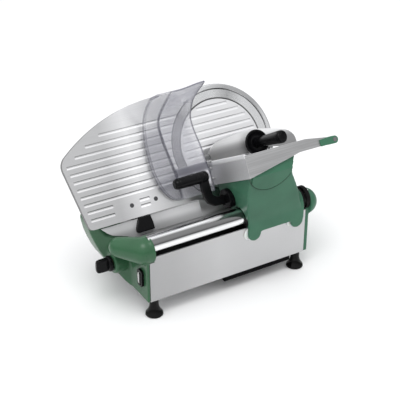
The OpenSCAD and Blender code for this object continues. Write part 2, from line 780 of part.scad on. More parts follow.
// Black arm that carries the gauge plate on the slide inside the base
module gauge_arm() {
    color(black) plane() difference() {
        union() {
            // cross piece behind the plate
            span([arm_x - 42, 24, -plate_skin - 9], [arm_x + 52, 46, -plate_skin]);
            // visible block below the plate's edge
            along_n(-plate_rim - 12, arm_front) polygon([[arm_x - 21, -1.5], [arm_x + 11, -1.5],
                [arm_foot[1] - 1, -18], [arm_foot[1], -28], [arm_foot[1], v_at(deck, 0) + 11],
                [arm_foot[0] + 3, v_at(deck, 0) + 11], [arm_foot[0], v_at(deck, 0) + 15], [arm_foot[0], -30],
                [arm_foot[0] + 4, -20]]);
            // neck behind the rim that joins the two
            span([arm_x - 15, -8, -plate_rim - 12], [arm_x + 15, 46, -plate_rim - pass_gap]);
            span([arm_x - 15, 20, -plate_rim - 1], [arm_x + 15, 46, -plate_skin - 8]);
            // leg down to the slide inside the base
            span([slide_left, slide_top_v - 1, slide_back + 20], [slide_right, -20, -plate_rim - 11]);
            span([slide_left, slide_low_v, slide_back], [slide_right, slide_top_v, slide_front]);
        }
        for (v = guide_v) translate([guide_x, v, -400]) cylinder(h = 800, r = guide_radius + running);
        translate([slide_left, cam_v, cam_n + cam_start]) round_x(-1, 5, pin_radius);
        for (x = [arm_x - 31, arm_x + 41]) translate([x, 34.5, -plate_skin - 8]) cylinder(h = 20, r = 3.05);
    }
}

// Screws through the gauge plate into its arm
module gauge_screws() {
    color(steel) plane() for (x = [arm_x - 31, arm_x + 41]) translate([x, 34.5, 0]) {
        translate([0, 0, -plate_skin - 8]) cylinder(h = plate_skin + 8 - 1.5, r = 3);
        translate([0, 0, -1.5]) cylinder(h = 1.5, r = 6);
    }
}

// Pin on the slide that runs in the scroll cam
module cam_follower() {
    color(steel) plane() translate([0, cam_v, cam_n + cam_start]) round_x(pin_end, slide_left + 5, pin_radius - 0.02);
}

// Two rods that the gauge slide runs on
module gauge_guides() {
    color(steel) plane() for (v = guide_v) translate([guide_x, v, slide_back - gauge_travel - 15])
        cylinder(h = slide_front + 14 - slide_back + gauge_travel + 15, r = guide_radius);
}

// Frame inside the base that holds the guide rods and the cam shaft
module gauge_bracket() {
    low = slide_back - gauge_travel - 15;
    high = slide_front + 14;
    color(silver) difference() {
        union() {
            placed() span([14, 70, floor_thickness], [slide_right + 12, 210, floor_thickness + 6]);
            placed() along_x(14, 22) polygon([[90, floor_thickness + 5], [160, floor_thickness + 5],
                [150, cam_z + 14], [100, cam_z + 14]]);
            intersection() {
                plane() {
                    span([slide_right + 4, -200, low], [slide_right + 12, slide_top_v, high]);
                    for (n = [low, high - 10])
                        span([slide_left, slide_low_v, n], [slide_right + 5, slide_top_v, n + 10]);
                }
                placed() span([0, 0, floor_thickness + 5], [far, far, far]);
            }
        }
        placed() translate([0, cam_y, cam_z]) round_x(13, 23, shaft_radius + running);
        plane() for (v = guide_v) translate([guide_x, v, -400]) cylinder(h = 800, r = guide_radius + 0.03);
    }
}

// Thickness knob on the left end
module index_knob() {
    color(black) placed() translate([knob_face, cam_y, cam_z]) difference() {
        union() {
            translate([-1, 0, 0]) rotate([0, -90, 0]) rotate_extrude() polygon([[0, 0], [21, 0], [22, 2], [22, 9],
                [19, 12], [0, 12]]);
            along_x(-44, -10) polygon(concat(arc(0, 13, 7, 0, 180, 10), arc(0, -13, 7, 180, 360, 10)));
        }
        round_x(-knob_seat, 1, shaft_radius + 0.03);
    }
}

// Shaft between the knob and the cam
module cam_shaft() {
    color(steel) placed() translate([0, cam_y, cam_z]) round_x(knob_face - knob_seat, cam_left + 8, shaft_radius);
}

// Outline of the cam's spiral groove, centred on the follower's path
function scroll_path(side) =
    [for (k = [0:44]) let (f = -12 + (cam_sweep + 30) * k / 44, r = cam_start - gauge_travel * f / cam_sweep + side)
        [cam_v + r * cos(90 - f), cam_n + r * sin(90 - f)]];

// Disc with a spiral groove that moves the gauge slide
module scroll_cam() {
    inner = scroll_path(-pin_radius - 0.35);
    outer = scroll_path(pin_radius + 0.35);
    color(steel) plane() difference() {
        translate([0, cam_v, cam_n]) round_x(cam_left, cam_right, cam_radius);
        along_x(pin_end - pass_gap, cam_right + 1) polygon(concat(outer, [for (k = [44:-1:0]) inner[k]]));
        translate([0, cam_v, cam_n]) round_x(cam_left - 1, cam_left + 8, shaft_radius + 0.03);
    }
}

// Bush that the cam shaft turns in
module shaft_bush() {
    color([0.72, 0.55, 0.30]) placed() translate([0, cam_y, cam_z]) difference() {
        round_x(knob_face + 1, -0.5, bush_radius - 0.03);
        round_x(knob_face, 1, shaft_radius + running);
    }
}

// Side view of the carriage's pedestal, moved inwards by d
module pedestal_side(d) {
    polygon([[apron_front + 1 + d, bar_z - 13 - 20 * d], plane_yz(tray_low, tray_reach - 10 - d * 1.3),
        plane_yz(120, tray_reach - 10 - d * 1.3), plane_yz(120, tray_back + d), plane_yz(2, tray_back + d),
        [channel_rear + 4 - d, deck + 10 + d * 1.5], [channel_rear + 4 - d, bar_z - 13 - 20 * d]]);
}

// Front view of the carriage's pedestal, moved inwards by d
module pedestal_front(d) {
    polygon([[carriage_left + d, 60], [carriage_left + d, 150], [carriage_left - 10 + d, 195],
        [tray_left + 8 + d, 250], [tray_left + 6 + d, 300], [tray_left + 6 + d, 500], [tray_bend + 10 - d, 500],
        [tray_bend - 13 - d, 335], [tray_bend - 26 - d, 312], [tray_bend - 21 - d, 290], [tray_bend - 2 - d, 252],
        [tray_bend + 10 - d, 225], [tray_bend + 23 - d, 186], [carriage_right - 12 - d, 160],
        [carriage_right - d, 125], [carriage_right - d, 60]]);
}

// Space below the tray
module below_tray(d) {
    slope = (tray_high - tray_low) / (tray_bend - tray_left);
    along_n(-far, far) polygon([[tray_left - 60, -far], [tray_left - 60, tray_low - d - 60 * slope],
        [tray_bend, tray_high - d], [tray_bend + 200, tray_high - d], [tray_bend + 200, -far]]);
}

// Painted carriage casting: bearing on the bar, apron with two lobes and pedestal for the tray
module carriage() {
    color(green) difference() {
        union() {
            placed() translate([0, bar_y, bar_z]) round_x(carriage_left, carriage_right, barrel);
            placed() span([carriage_left, apron_front, apron_low], [carriage_right, apron_back, bar_z]);
            for (x = [carriage_left + 20, carriage_right - 22]) placed() along_y(apron_front, apron_back)
                polygon(concat(arc(x, lobe_low + 20, 20, 180, 360, 16),
                    [[x + 20, apron_low + 12], [x - 20, apron_low + 12]]));
            difference() {
                intersection() {
                    placed() along_x(carriage_left - 60, carriage_right + 20) pedestal_side(0);
                    placed() along_y(-200, 400) pedestal_front(0);
                    plane() below_tray(0.02);
                }
                intersection() {
                    placed() along_x(carriage_left - 60, carriage_right + 20) polygon([[skin, bar_z + barrel + 3],
                        plane_yz(tray_low, tray_reach - 26), plane_yz(120, tray_reach - 26),
                        plane_yz(120, tray_back + skin), plane_yz(14, tray_back + skin),
                        [channel_rear + 2, bar_z + barrel + 3]]);
                    placed() along_y(-200, 400) pedestal_front(skin);
                }
            }
        }
        placed() translate([0, bar_y, bar_z]) {
            round_x(carriage_left - 30, carriage_right + 1, bar_radius + 1.5);
            round_x(carriage_left - 1, carriage_left + bush_length, bush_outer + 0.02);
            round_x(carriage_right - bush_length, carriage_right + 1, bush_outer + 0.02);
        }
        // the bearing is open towards the base
        placed() span([0, apron_back + 0.01, 0], [far, far, deck + 1.5]);
        plane() translate([0, 0, -400]) linear_extrude(400 + tray_back) square(far);
    }
}

// Two plain bushes of the carriage, open towards the base
module carriage_bushes() {
    color(nylon) placed() difference() {
        translate([0, bar_y, bar_z]) for (x = [carriage_left, carriage_right - bush_length])
            round_x(x, x + bush_length, bush_outer);
        translate([0, bar_y, bar_z]) round_x(0, far, bar_radius + running);
        span([0, apron_back, 0], [far, far, deck + 1.5]);
    }
}

// Black wipers on both ends of the carriage's bearing
module bar_wipers() {
    color(black) placed() difference() {
        translate([0, bar_y, bar_z]) for (x = [carriage_left - wiper, carriage_right])
            round_x(x, x + wiper, barrel - 2);
        translate([0, bar_y, bar_z]) round_x(0, far, bar_radius + pass_gap);
        along_y(-200, 400) intersection() {
            pedestal_front(0);
            square([carriage_left + 1, far]);
        }
        span([0, apron_back, 0], [far, far, deck + 1.5]);
    }
}

// Nylon pads between the carriage's lobes and the front wall
module carriage_pads() {
    color(nylon) placed() for (x = [carriage_left + 20, carriage_right - 22])
        translate([x, pad_back, lobe_low + 21]) rotate([90, 0, 0]) cylinder(h = pad_back - apron_back, r = 17);
}

// Raised plate on the front of the pedestal, where the tray is bolted on
module tray_lug() {
    mid = tray_left + 62;
    color(green) difference() {
        intersection() {
            placed() translate([0, -3, 0]) along_x(tray_left + 12, tray_bend - 10) pedestal_side(0);
            placed() along_y(-300, 20) polygon(concat([[tray_left + 14, 500]], arc(mid + 10, 338, 74, 190, 330, 16),
                [[tray_bend - 14, 500]]));
            plane() below_tray(0.02);
        }
        placed() along_x(carriage_left - 90, carriage_right + 60) pedestal_side(0);
        placed() span([0, 20, 0], [far, far, far]);
    }
}

// Round cap on the carriage's left side
module side_cap() {
    color(black) intersection() {
        placed() translate([tray_left - 2, 66, 204]) rotate([0, 90, 0]) cylinder(h = 40, r = 27);
        difference() {
            placed() span([0, 0, 0], [far, far, far]);
            from_left_wall();
            plane() span([0, -30, handle_n - 8.02], [far, -4, handle_n + 8.02]);
        }
    }
}

// Aluminium tray, open towards the blade
module tray() {
    color(polished) plane() difference() {
        union() {
            along_n(tray_back, tray_reach) polygon([[tray_left, tray_low], [tray_bend, tray_high],
                [tray_right, tray_high], [tray_right, tray_high + tray_wall], [tray_bend - 0.3, tray_high + tray_wall],
                [tray_left + tray_wall, tray_low + tray_wall + 0.8], [tray_left + tray_wall, tray_rim],
                [tray_left, tray_rim]]);
            along_n(tray_reach - tray_wall, tray_reach) polygon([[tray_left, tray_low], [tray_bend, tray_high],
                [tray_right, tray_high], [tray_right, tray_rim - 11], [tray_right - 70, tray_rim],
                [tray_left, tray_rim]]);
        }
        for (v = guard_screw_v) translate([tray_left, v, guard_screw_n]) round_x(-1, tray_wall + 1, 2.53);
    }
}

// Point of the guard's curl as [n, v]: a quadratic curve from the upright part past the knee to the lip
function guard_curve(t) = pow(1 - t, 2) * guard_foot + 2 * t * (1 - t) * guard_knee + t * t * guard_lip;
// Direction across the sheet at the same point, towards the user
function guard_normal(t) =
    let (along = (1 - t) * (guard_knee - guard_foot) + t * (guard_lip - guard_knee))
    [along[1], -along[0]] / norm(along);
// Section of the hand guard at distance d in front of its back
function guard_path(d) = concat([[guard_n + d, guard_low]],
    [for (k = [0:14]) guard_curve(k / 14) + d * guard_normal(k / 14)]);

// Clear hand guard on the tray's left end
module guard() {
    mid = (guard_step_x + tray_left) / 2;
    color(clear) plane() difference() {
        intersection() {
            union() {
                translate([guard_left, 0, 0]) guard_sheet(0, guard_step_x + guard_wall - guard_left);
                translate([guard_step_x, 0, 0]) guard_sheet(guard_step, tray_left - guard_step_x);
                // flange screwed to the tray's wall
                span([tray_left - guard_wall, guard_screw_v[0] - 10, guard_n + guard_step],
                    [tray_left, guard_screw_v[1] + 9, guard_screw_n + 10]);
                // step between the two depths
                translate([guard_step_x, 0, 0]) guard_rib(0, guard_step + guard_wall);
                // stiffening bead along the left edge
                translate([guard_left, 0, 0]) guard_rib(0, 9);
                // stiffening rib on the raised half
                translate([mid - 30, 0, 0]) guard_rib(guard_step, guard_step + guard_wall + 4);
            }
            along_n(-far, far) polygon(concat([for (a = [0:9:90]) [guard_left + guard_corner[0] * (1 - cos(a)),
                guard_low + guard_corner[1] * (1 - sin(a))]], [[tray_left, guard_low], [tray_left, guard_top + 6],
                [guard_left + 34, guard_top + 6], [guard_left + 22, guard_top - 4], [guard_left + 12, guard_top - 22],
                [guard_left + 8, guard_straight + 15], [guard_left, guard_straight - 25]]));
        }
        for (v = guard_screw_v) translate([tray_left, v, guard_screw_n]) round_x(-10, 10, 2.53);
    }
}

// Strip of the guard's sheet, lifted by d and w long
module guard_sheet(d, w) {
    inner = guard_path(d);
    outer = guard_path(d + guard_wall);
    last = len(inner) - 1;
    along_x(0, w) polygon([for (p = concat(inner, [for (k = [last:-1:0]) outer[k]])) [p[1], p[0]]]);
}

// Upright rib of the guard between the depths d0 and d1
module guard_rib(d0, d1) {
    inner = guard_path(d0);
    outer = guard_path(d1);
    last = len(inner) - 1;
    along_x(0, guard_wall) polygon([for (p = concat(inner, [for (k = [last:-1:0]) outer[k]])) [p[1], p[0]]]);
}

// Screws that hold the guard to the tray, with their nuts inside the tray
module guard_screws() {
    color(steel) plane() for (v = guard_screw_v) translate([tray_left, v, guard_screw_n]) {
        round_x(-guard_wall - 3, tray_wall + 6, 2.5);
        round_x(-guard_wall - 3, -guard_wall, 4.8);
        translate([tray_wall, 0, 0]) rotate([0, 90, 0]) cylinder(h = 4, r = 4.6, $fn = 6);
    }
}

// Half profile of the handle's grip, grown by d
function grip_profile(d) = [[0, -d], [9 + d, -d], [13 + d, 3], [15 + d, 12], [15.5 + d, 50], [16 + d, 88],
    [15 + d, 98], [11 + d, 103 + d], [0, 103 + d]];

// Black grip that pushes the carriage
module handle_grip() {
    color(black) plane() translate([handle_x - 100, handle_v, handle_n]) rotate([0, 90, 0]) rotate_extrude()
        polygon(grip_profile(0));
}

// Flat forged stalk between the grip and the carriage
module handle_stalk() {
    color(black) difference() {
        plane() along_n(handle_n - 8, handle_n + 8) polygon([[handle_x - 24, handle_v], [handle_x, handle_v],
            [handle_x, 6], [handle_x + 12, -5], [handle_x + 90, -8], [handle_x + 90, -29], [handle_x + 2, -27],
            [handle_x - 16, -15], [handle_x - 24, 4]]);
        from_left_wall();
        plane() translate([handle_x - 100, handle_v, handle_n]) rotate([0, 90, 0]) rotate_extrude()
            polygon(grip_profile(0.02));
    }
}

// Space of the carriage's left wall and all to the right of it
module from_left_wall() {
    placed() along_y(-200, 400) polygon([[carriage_left, 60], [carriage_left, 150], [carriage_left - 10, 195],
        [tray_left + 8, 250], [tray_left + 6, 300], [tray_left + 6, far], [far, far], [far, 60]]);
}

// Steel rod that the pusher slides and swings on
module pusher_rod() {
    color(polished) plane() translate([rod_x, rod_v, rod_start]) cylinder(h = rod_end - rod_start, r = rod_radius);
}

// Outline of a rod bracket that reaches inwards from the rod to the tray, between two depths
module bracket_slice(n0, n1, inner, low) {
    along_n(n0, n1) polygon(concat(arc(rod_x, rod_v, rod_radius + 4.5, -100, 100, 14),
        [[tray_right, tray_high + tray_wall + 16], [inner, tray_high + tray_wall + 14], [inner, low],
        [tray_right, low], [tray_right, tray_high - 2]]));
}

// Green brackets that hold the rod on the tray's right end, the front one with a plate over the tray's wall
module rod_bracket() {
    floor_top = tray_high + tray_wall;
    color(green) plane() difference() {
        union() {
            bracket_slice(tray_back + 0.5, tray_back + 6.5, tray_right - 26, floor_top);
            bracket_slice(tray_reach - tray_wall - 15, tray_reach - tray_wall, tray_right - 26, floor_top);
            bracket_slice(tray_reach - tray_wall - 1, tray_reach + 1, tray_right, floor_top);
            bracket_slice(tray_reach, tray_reach + 5, tray_right - 28, tray_high - 1);
        }
        translate([rod_x, rod_v, rod_start]) cylinder(h = 2 * tray_reach, r = rod_radius + 0.03);
    }
}

// Sleeve that slides on the rod and carries the pusher's pivot
module pusher_sleeve() {
    color(nylon) plane() translate([rod_x, rod_v, 0]) difference() {
        union() {
            translate([0, 0, sleeve_start]) cylinder(h = sleeve_length, r = rod_radius + sleeve_wall);
            for (n = [sleeve_start, sleeve_start + sleeve_length - 2])
                translate([0, 0, n]) cylinder(h = 2, r = rod_radius + sleeve_wall + 3);
        }
        translate([0, 0, sleeve_start - 1]) cylinder(h = sleeve_length + 2, r = rod_radius + running);
    }
}

// Toothed pusher plate with its hub on the sleeve
module pusher_arm() {
    start = sleeve_start + 2 + pass_gap;
    color(polished) plane() difference() {
        union() {
            translate([rod_x, rod_v, start]) cylinder(h = sleeve_length - 4 - 2 * pass_gap, r = hub_radius);
            along_n(arm_n, arm_n + arm_thick) polygon(concat([for (p = arm_edge) [arm_left + p[0], p[1]]],
                [[rod_x + hub_radius - 3, rod_v], [rod_x - 8, rod_v - hub_radius + 3],
                [tray_right - 30, arm_low - 6], [tray_right - 60, arm_low], [arm_left + 8, arm_low]]));
            // teeth that hold the food
            for (k = [0:11]) translate([arm_left + 24 + 17 * k, arm_low + 3, arm_n + 0.01]) rotate([90, 0, 90])
                linear_extrude(4) polygon([[0, 0], [10, -5], [20, 0]]);
        }
        translate([rod_x, rod_v, 0]) cylinder(h = 400, r = rod_radius + sleeve_wall + running);
    }
}

// Puts the pusher's handle on its plate, leaning a little to the right
module on_pusher() {
    plane() translate([grip_x, grip_v, grip_n]) rotate([0, grip_tilt, 0]) children();
}

// Dished black disc that keeps the hand off the plate, on a boss cut flush with it
module pusher_flange() {
    color(black) intersection() {
        on_pusher() rotate_extrude() polygon([[0, -3 * flange_boss], [flange_boss, -3 * flange_boss], [flange_boss, 2],
            [flange_radius - 6, 7], [flange_radius - 1, 11], [flange_radius, 14], [flange_radius - 1.5, 17],
            [flange_radius - 5, 17.5], [flange_radius - 9, 15], [flange_boss, flange_depth], [0, flange_depth]]);
        plane() along_n(arm_n + arm_thick, far) square(far);
    }
}

// Black grip of the pusher, thicker towards its free end
module pusher_grip() {
    color(black) on_pusher() rotate_extrude() polygon([[0, flange_depth], [grip_radius - 6, flange_depth],
        [grip_radius - 5.5, flange_depth + 12], [grip_radius - 4, grip_length * 0.45],
        [grip_radius - 1.5, grip_length * 0.72], [grip_radius, grip_length * 0.88], [grip_radius, grip_length - 6],
        [grip_radius - 1, grip_length - 3], [grip_radius - 3.5, grip_length - 0.5], [0, grip_length]]);
}

base_shell();
base_floor();
apron_sheet();
bottom_pan();
channel_strip();
feet();
foot_bolts();
left_end();
right_end();
slide_bar();
bar_buffer();
cord_gland();
switch_bezel();
switch_rocker();
blade();
blade_hub();
blade_bearings();
blade_screws();
blade_axle();
blade_support();
ring_guard();
ring_screws();
blade_cover();
cover_rod();
cover_knob();
slice_deflector();
motor();
motor_bracket();
motor_pulley();
drive_belt();
gauge_plate();
gauge_arm();
gauge_screws();
cam_follower();
gauge_guides();
gauge_bracket();
index_knob();
cam_shaft();
scroll_cam();
shaft_bush();
carriage();
carriage_bushes();
bar_wipers();
carriage_pads();
tray_lug();
side_cap();
tray();
guard();
guard_screws();
handle_grip();
handle_stalk();
pusher_rod();
rod_bracket();
pusher_sleeve();
pusher_arm();
pusher_flange();
pusher_grip();
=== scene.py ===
"""Looks of a counter-top meat slicer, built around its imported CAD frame.

Lengths in the pieces' fields are millimetres, in one of two systems. Base coordinates have X along the slide
bar from the base's left end, Y behind its front wall and Z above its underside. Plane coordinates have the
same X, v up the leaning cutting plane and n out of it towards the user. on_base and on_plane turn both into
the frame, in metres. The finishes and the studio are in metres.
"""

from __future__ import annotations

import logging
import math
from dataclasses import dataclass
from enum import Enum

import bpy
import numpy as np
from mathutils import Matrix, Vector


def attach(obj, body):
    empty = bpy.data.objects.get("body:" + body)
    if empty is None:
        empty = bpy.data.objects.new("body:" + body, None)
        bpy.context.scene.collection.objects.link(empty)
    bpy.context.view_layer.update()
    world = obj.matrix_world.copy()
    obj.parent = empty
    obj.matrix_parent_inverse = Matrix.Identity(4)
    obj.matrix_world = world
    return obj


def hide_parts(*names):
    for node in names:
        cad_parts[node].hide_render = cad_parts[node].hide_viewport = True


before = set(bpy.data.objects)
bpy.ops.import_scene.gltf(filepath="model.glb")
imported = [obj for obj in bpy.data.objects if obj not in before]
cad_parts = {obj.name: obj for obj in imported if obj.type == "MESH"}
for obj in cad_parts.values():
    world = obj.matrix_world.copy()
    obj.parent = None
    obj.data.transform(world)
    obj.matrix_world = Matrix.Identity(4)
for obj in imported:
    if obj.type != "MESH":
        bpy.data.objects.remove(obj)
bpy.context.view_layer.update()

LOG = logging.getLogger("slicer")

Socket = bpy.types.NodeSocket
Span = tuple[float, float]
Point = tuple[float, float, float]
Colour = tuple[float, float, float]
Ease = tuple[float, float, float]
Pairs = tuple[Span, ...]

# Places of the machine in millimetres, and its directions
MM = 0.001
BASE_CORNER = np.array([-246.0, -150.0, 52.0])
LEAN = math.radians(30)
PLANE_FOOT = np.array([0.0, 130.0, 184.0])
UP_PLANE = np.array([0.0, math.sin(LEAN), math.cos(LEAN)])
OUT_OF_PLANE = np.array([0.0, -math.cos(LEAN), math.sin(LEAN)])
BLADE_AXIS_X = 337.0
BLADE_AXIS_V = 133.0
ALONG_BAR = np.array([1.0, 0.0, 0.0])
BACKWARD = np.array([0.0, 1.0, 0.0])
UPWARD = np.array([0.0, 0.0, 1.0])

# What the finishes share, in metres and degrees
SLICER_LENGTH = 0.7
FULL_TURN = 360.0
NOISE_MIDDLE = (0.3, 0.7)
FEW_OCTAVES = 2.0
RING_OCTAVES = 4.0
WEAR_SAMPLES = 4
WEAR_TURN = (0.02, 0.2)
WEAR_SCALE = 180.0
WEAR_PATCHES = (0.2, 0.9)

# Numbers of the colour sockets on a mix node
MIX_A, MIX_B, MIX_RESULT = 6, 7, 2

# Angles in degrees above which an edge stays sharp
TURNED_CREASE = 60.0
CARRIED_CREASE = 50.0
SHEET_CREASE = 30.0


def on_base(x: np.ndarray, y: np.ndarray, z: np.ndarray) -> np.ndarray:
    """Base coordinates as points of the frame.

    Args:
        x, y, z: arrays or numbers that broadcast, in millimetres.

    Returns:
        Array of points with a last axis of three, in metres.
    """
    return (np.stack(np.broadcast_arrays(x, y, z), -1) + BASE_CORNER) * MM


def on_plane(x: np.ndarray, v: np.ndarray, n: np.ndarray) -> np.ndarray:
    """Plane coordinates as points of the frame: foot + v times the plane's upward line + n times its normal.

    Args:
        x, v, n: arrays or numbers that broadcast, in millimetres.

    Returns:
        Array of points with a last axis of three, in metres.
    """
    x, v, n = (a[..., None] for a in np.broadcast_arrays(x, v, n))
    return (PLANE_FOOT + x * ALONG_BAR + v * UP_PLANE + n * OUT_OF_PLANE + BASE_CORNER) * MM


def shade(colour: Colour, factor: float) -> Colour:
    """A colour made lighter or darker by a factor."""
    return tuple(min(1.0, c * factor) for c in colour)


class Brushing(Enum):
    """Direction of the fine lines on a metal surface."""

    ALONG_X = "along the slide bar"
    ROUND_BAR = "round the slide bar"
    ROUND_BLADE = "round the blade's axis"
    NONE = "even"


@dataclass(frozen=True)
class Wear:
    """Light line along worn edges: its width in metres, its strength and how much lighter it is."""

    width: float
    strength: float
    tone: float


class Nodes:
    """Builder of one node tree."""

    def __init__(self, tree: bpy.types.NodeTree) -> None:
        """Starts from an empty tree."""
        self.tree = tree
        tree.nodes.clear()

    def add(self, kind: str, **settings: object) -> bpy.types.Node:
        """Adds a node and sets its properties.

        Args:
            kind: the node's type.
            settings: its properties by name.

        Returns:
            The new node.
        """
        node = self.tree.nodes.new(kind)
        for key, value in settings.items():
            setattr(node, key, value)
        return node

    def join(self, source: Socket, target: Socket) -> None:
        """Links two sockets."""
        self.tree.links.new(source, target)

    def feed(self, target: Socket, value: object) -> None:
        """Links a socket or sets a constant on the target.

        Args:
            target: the socket to feed.
            value: another socket, or a number or tuple.
        """
        if isinstance(value, Socket):
            self.join(value, target)
        else:
            target.default_value = value

    def math(self, operation: str, *values: object) -> Socket:
        """One sum, product or other operation of numbers.

        Args:
            operation: its name.
            values: sockets or constants.

        Returns:
            The result's socket.
        """
        node = self.add("ShaderNodeMath", operation=operation)
        for socket, value in zip(node.inputs, values):
            self.feed(socket, value)
        return node.outputs[0]

    def vectors(self, operation: str, *values: object) -> bpy.types.Node:
        """One operation of vectors.

        Args:
            operation: its name.
            values: sockets or constants.

        Returns:
            The node, whose result is its Vector or its Value.
        """
        node = self.add("ShaderNodeVectorMath", operation=operation)
        for socket, value in zip(node.inputs, values):
            self.feed(socket, value)
        return node

    def axis(self, vector: Socket, letter: str) -> Socket:
        """One coordinate of a vector.

        Args:
            vector: the vector's socket.
            letter: X, Y or Z.

        Returns:
            The coordinate's socket.
        """
        split = self.add("ShaderNodeSeparateXYZ")
        self.join(vector, split.inputs[0])
        return split.outputs[letter]

    def ranged(self, value: Socket, source: Span, target: Span = (0.0, 1.0)) -> Socket:
        """Maps one range of a value onto another and holds it at both ends.

        Args:
            value: the value's socket.
            source: range that it is read from.
            target: range that it comes out in.

        Returns:
            The mapped value's socket.
        """
        node = self.add("ShaderNodeMapRange")
        self.join(value, node.inputs["Value"])
        for name, number in zip(("From Min", "From Max", "To Min", "To Max"), (*source, *target)):
            node.inputs[name].default_value = number
        return node.outputs["Result"]

    def bands(self, share: Socket, stops: Pairs, tint: Colour = (1.0, 1.0, 1.0)) -> Socket:
        """Levels of a tint along a share from 0 to 1.

        Args:
            share: the share's socket.
            stops: places from 0 to 1 in rising order, each with its level.
            tint: colour that the levels are multiplied by.

        Returns:
            The colour's socket.
        """
        node = self.add("ShaderNodeValToRGB")
        self.join(share, node.inputs["Fac"])
        elements = node.color_ramp.elements
        elements[0].position, elements[1].position = stops[0][0], stops[-1][0]
        for place, _ in stops[1:-1]:
            elements.new(place)
        for element, (_, level) in zip(elements, stops):
            element.color = (*(level * c for c in tint), 1.0)
        return node.outputs["Color"]


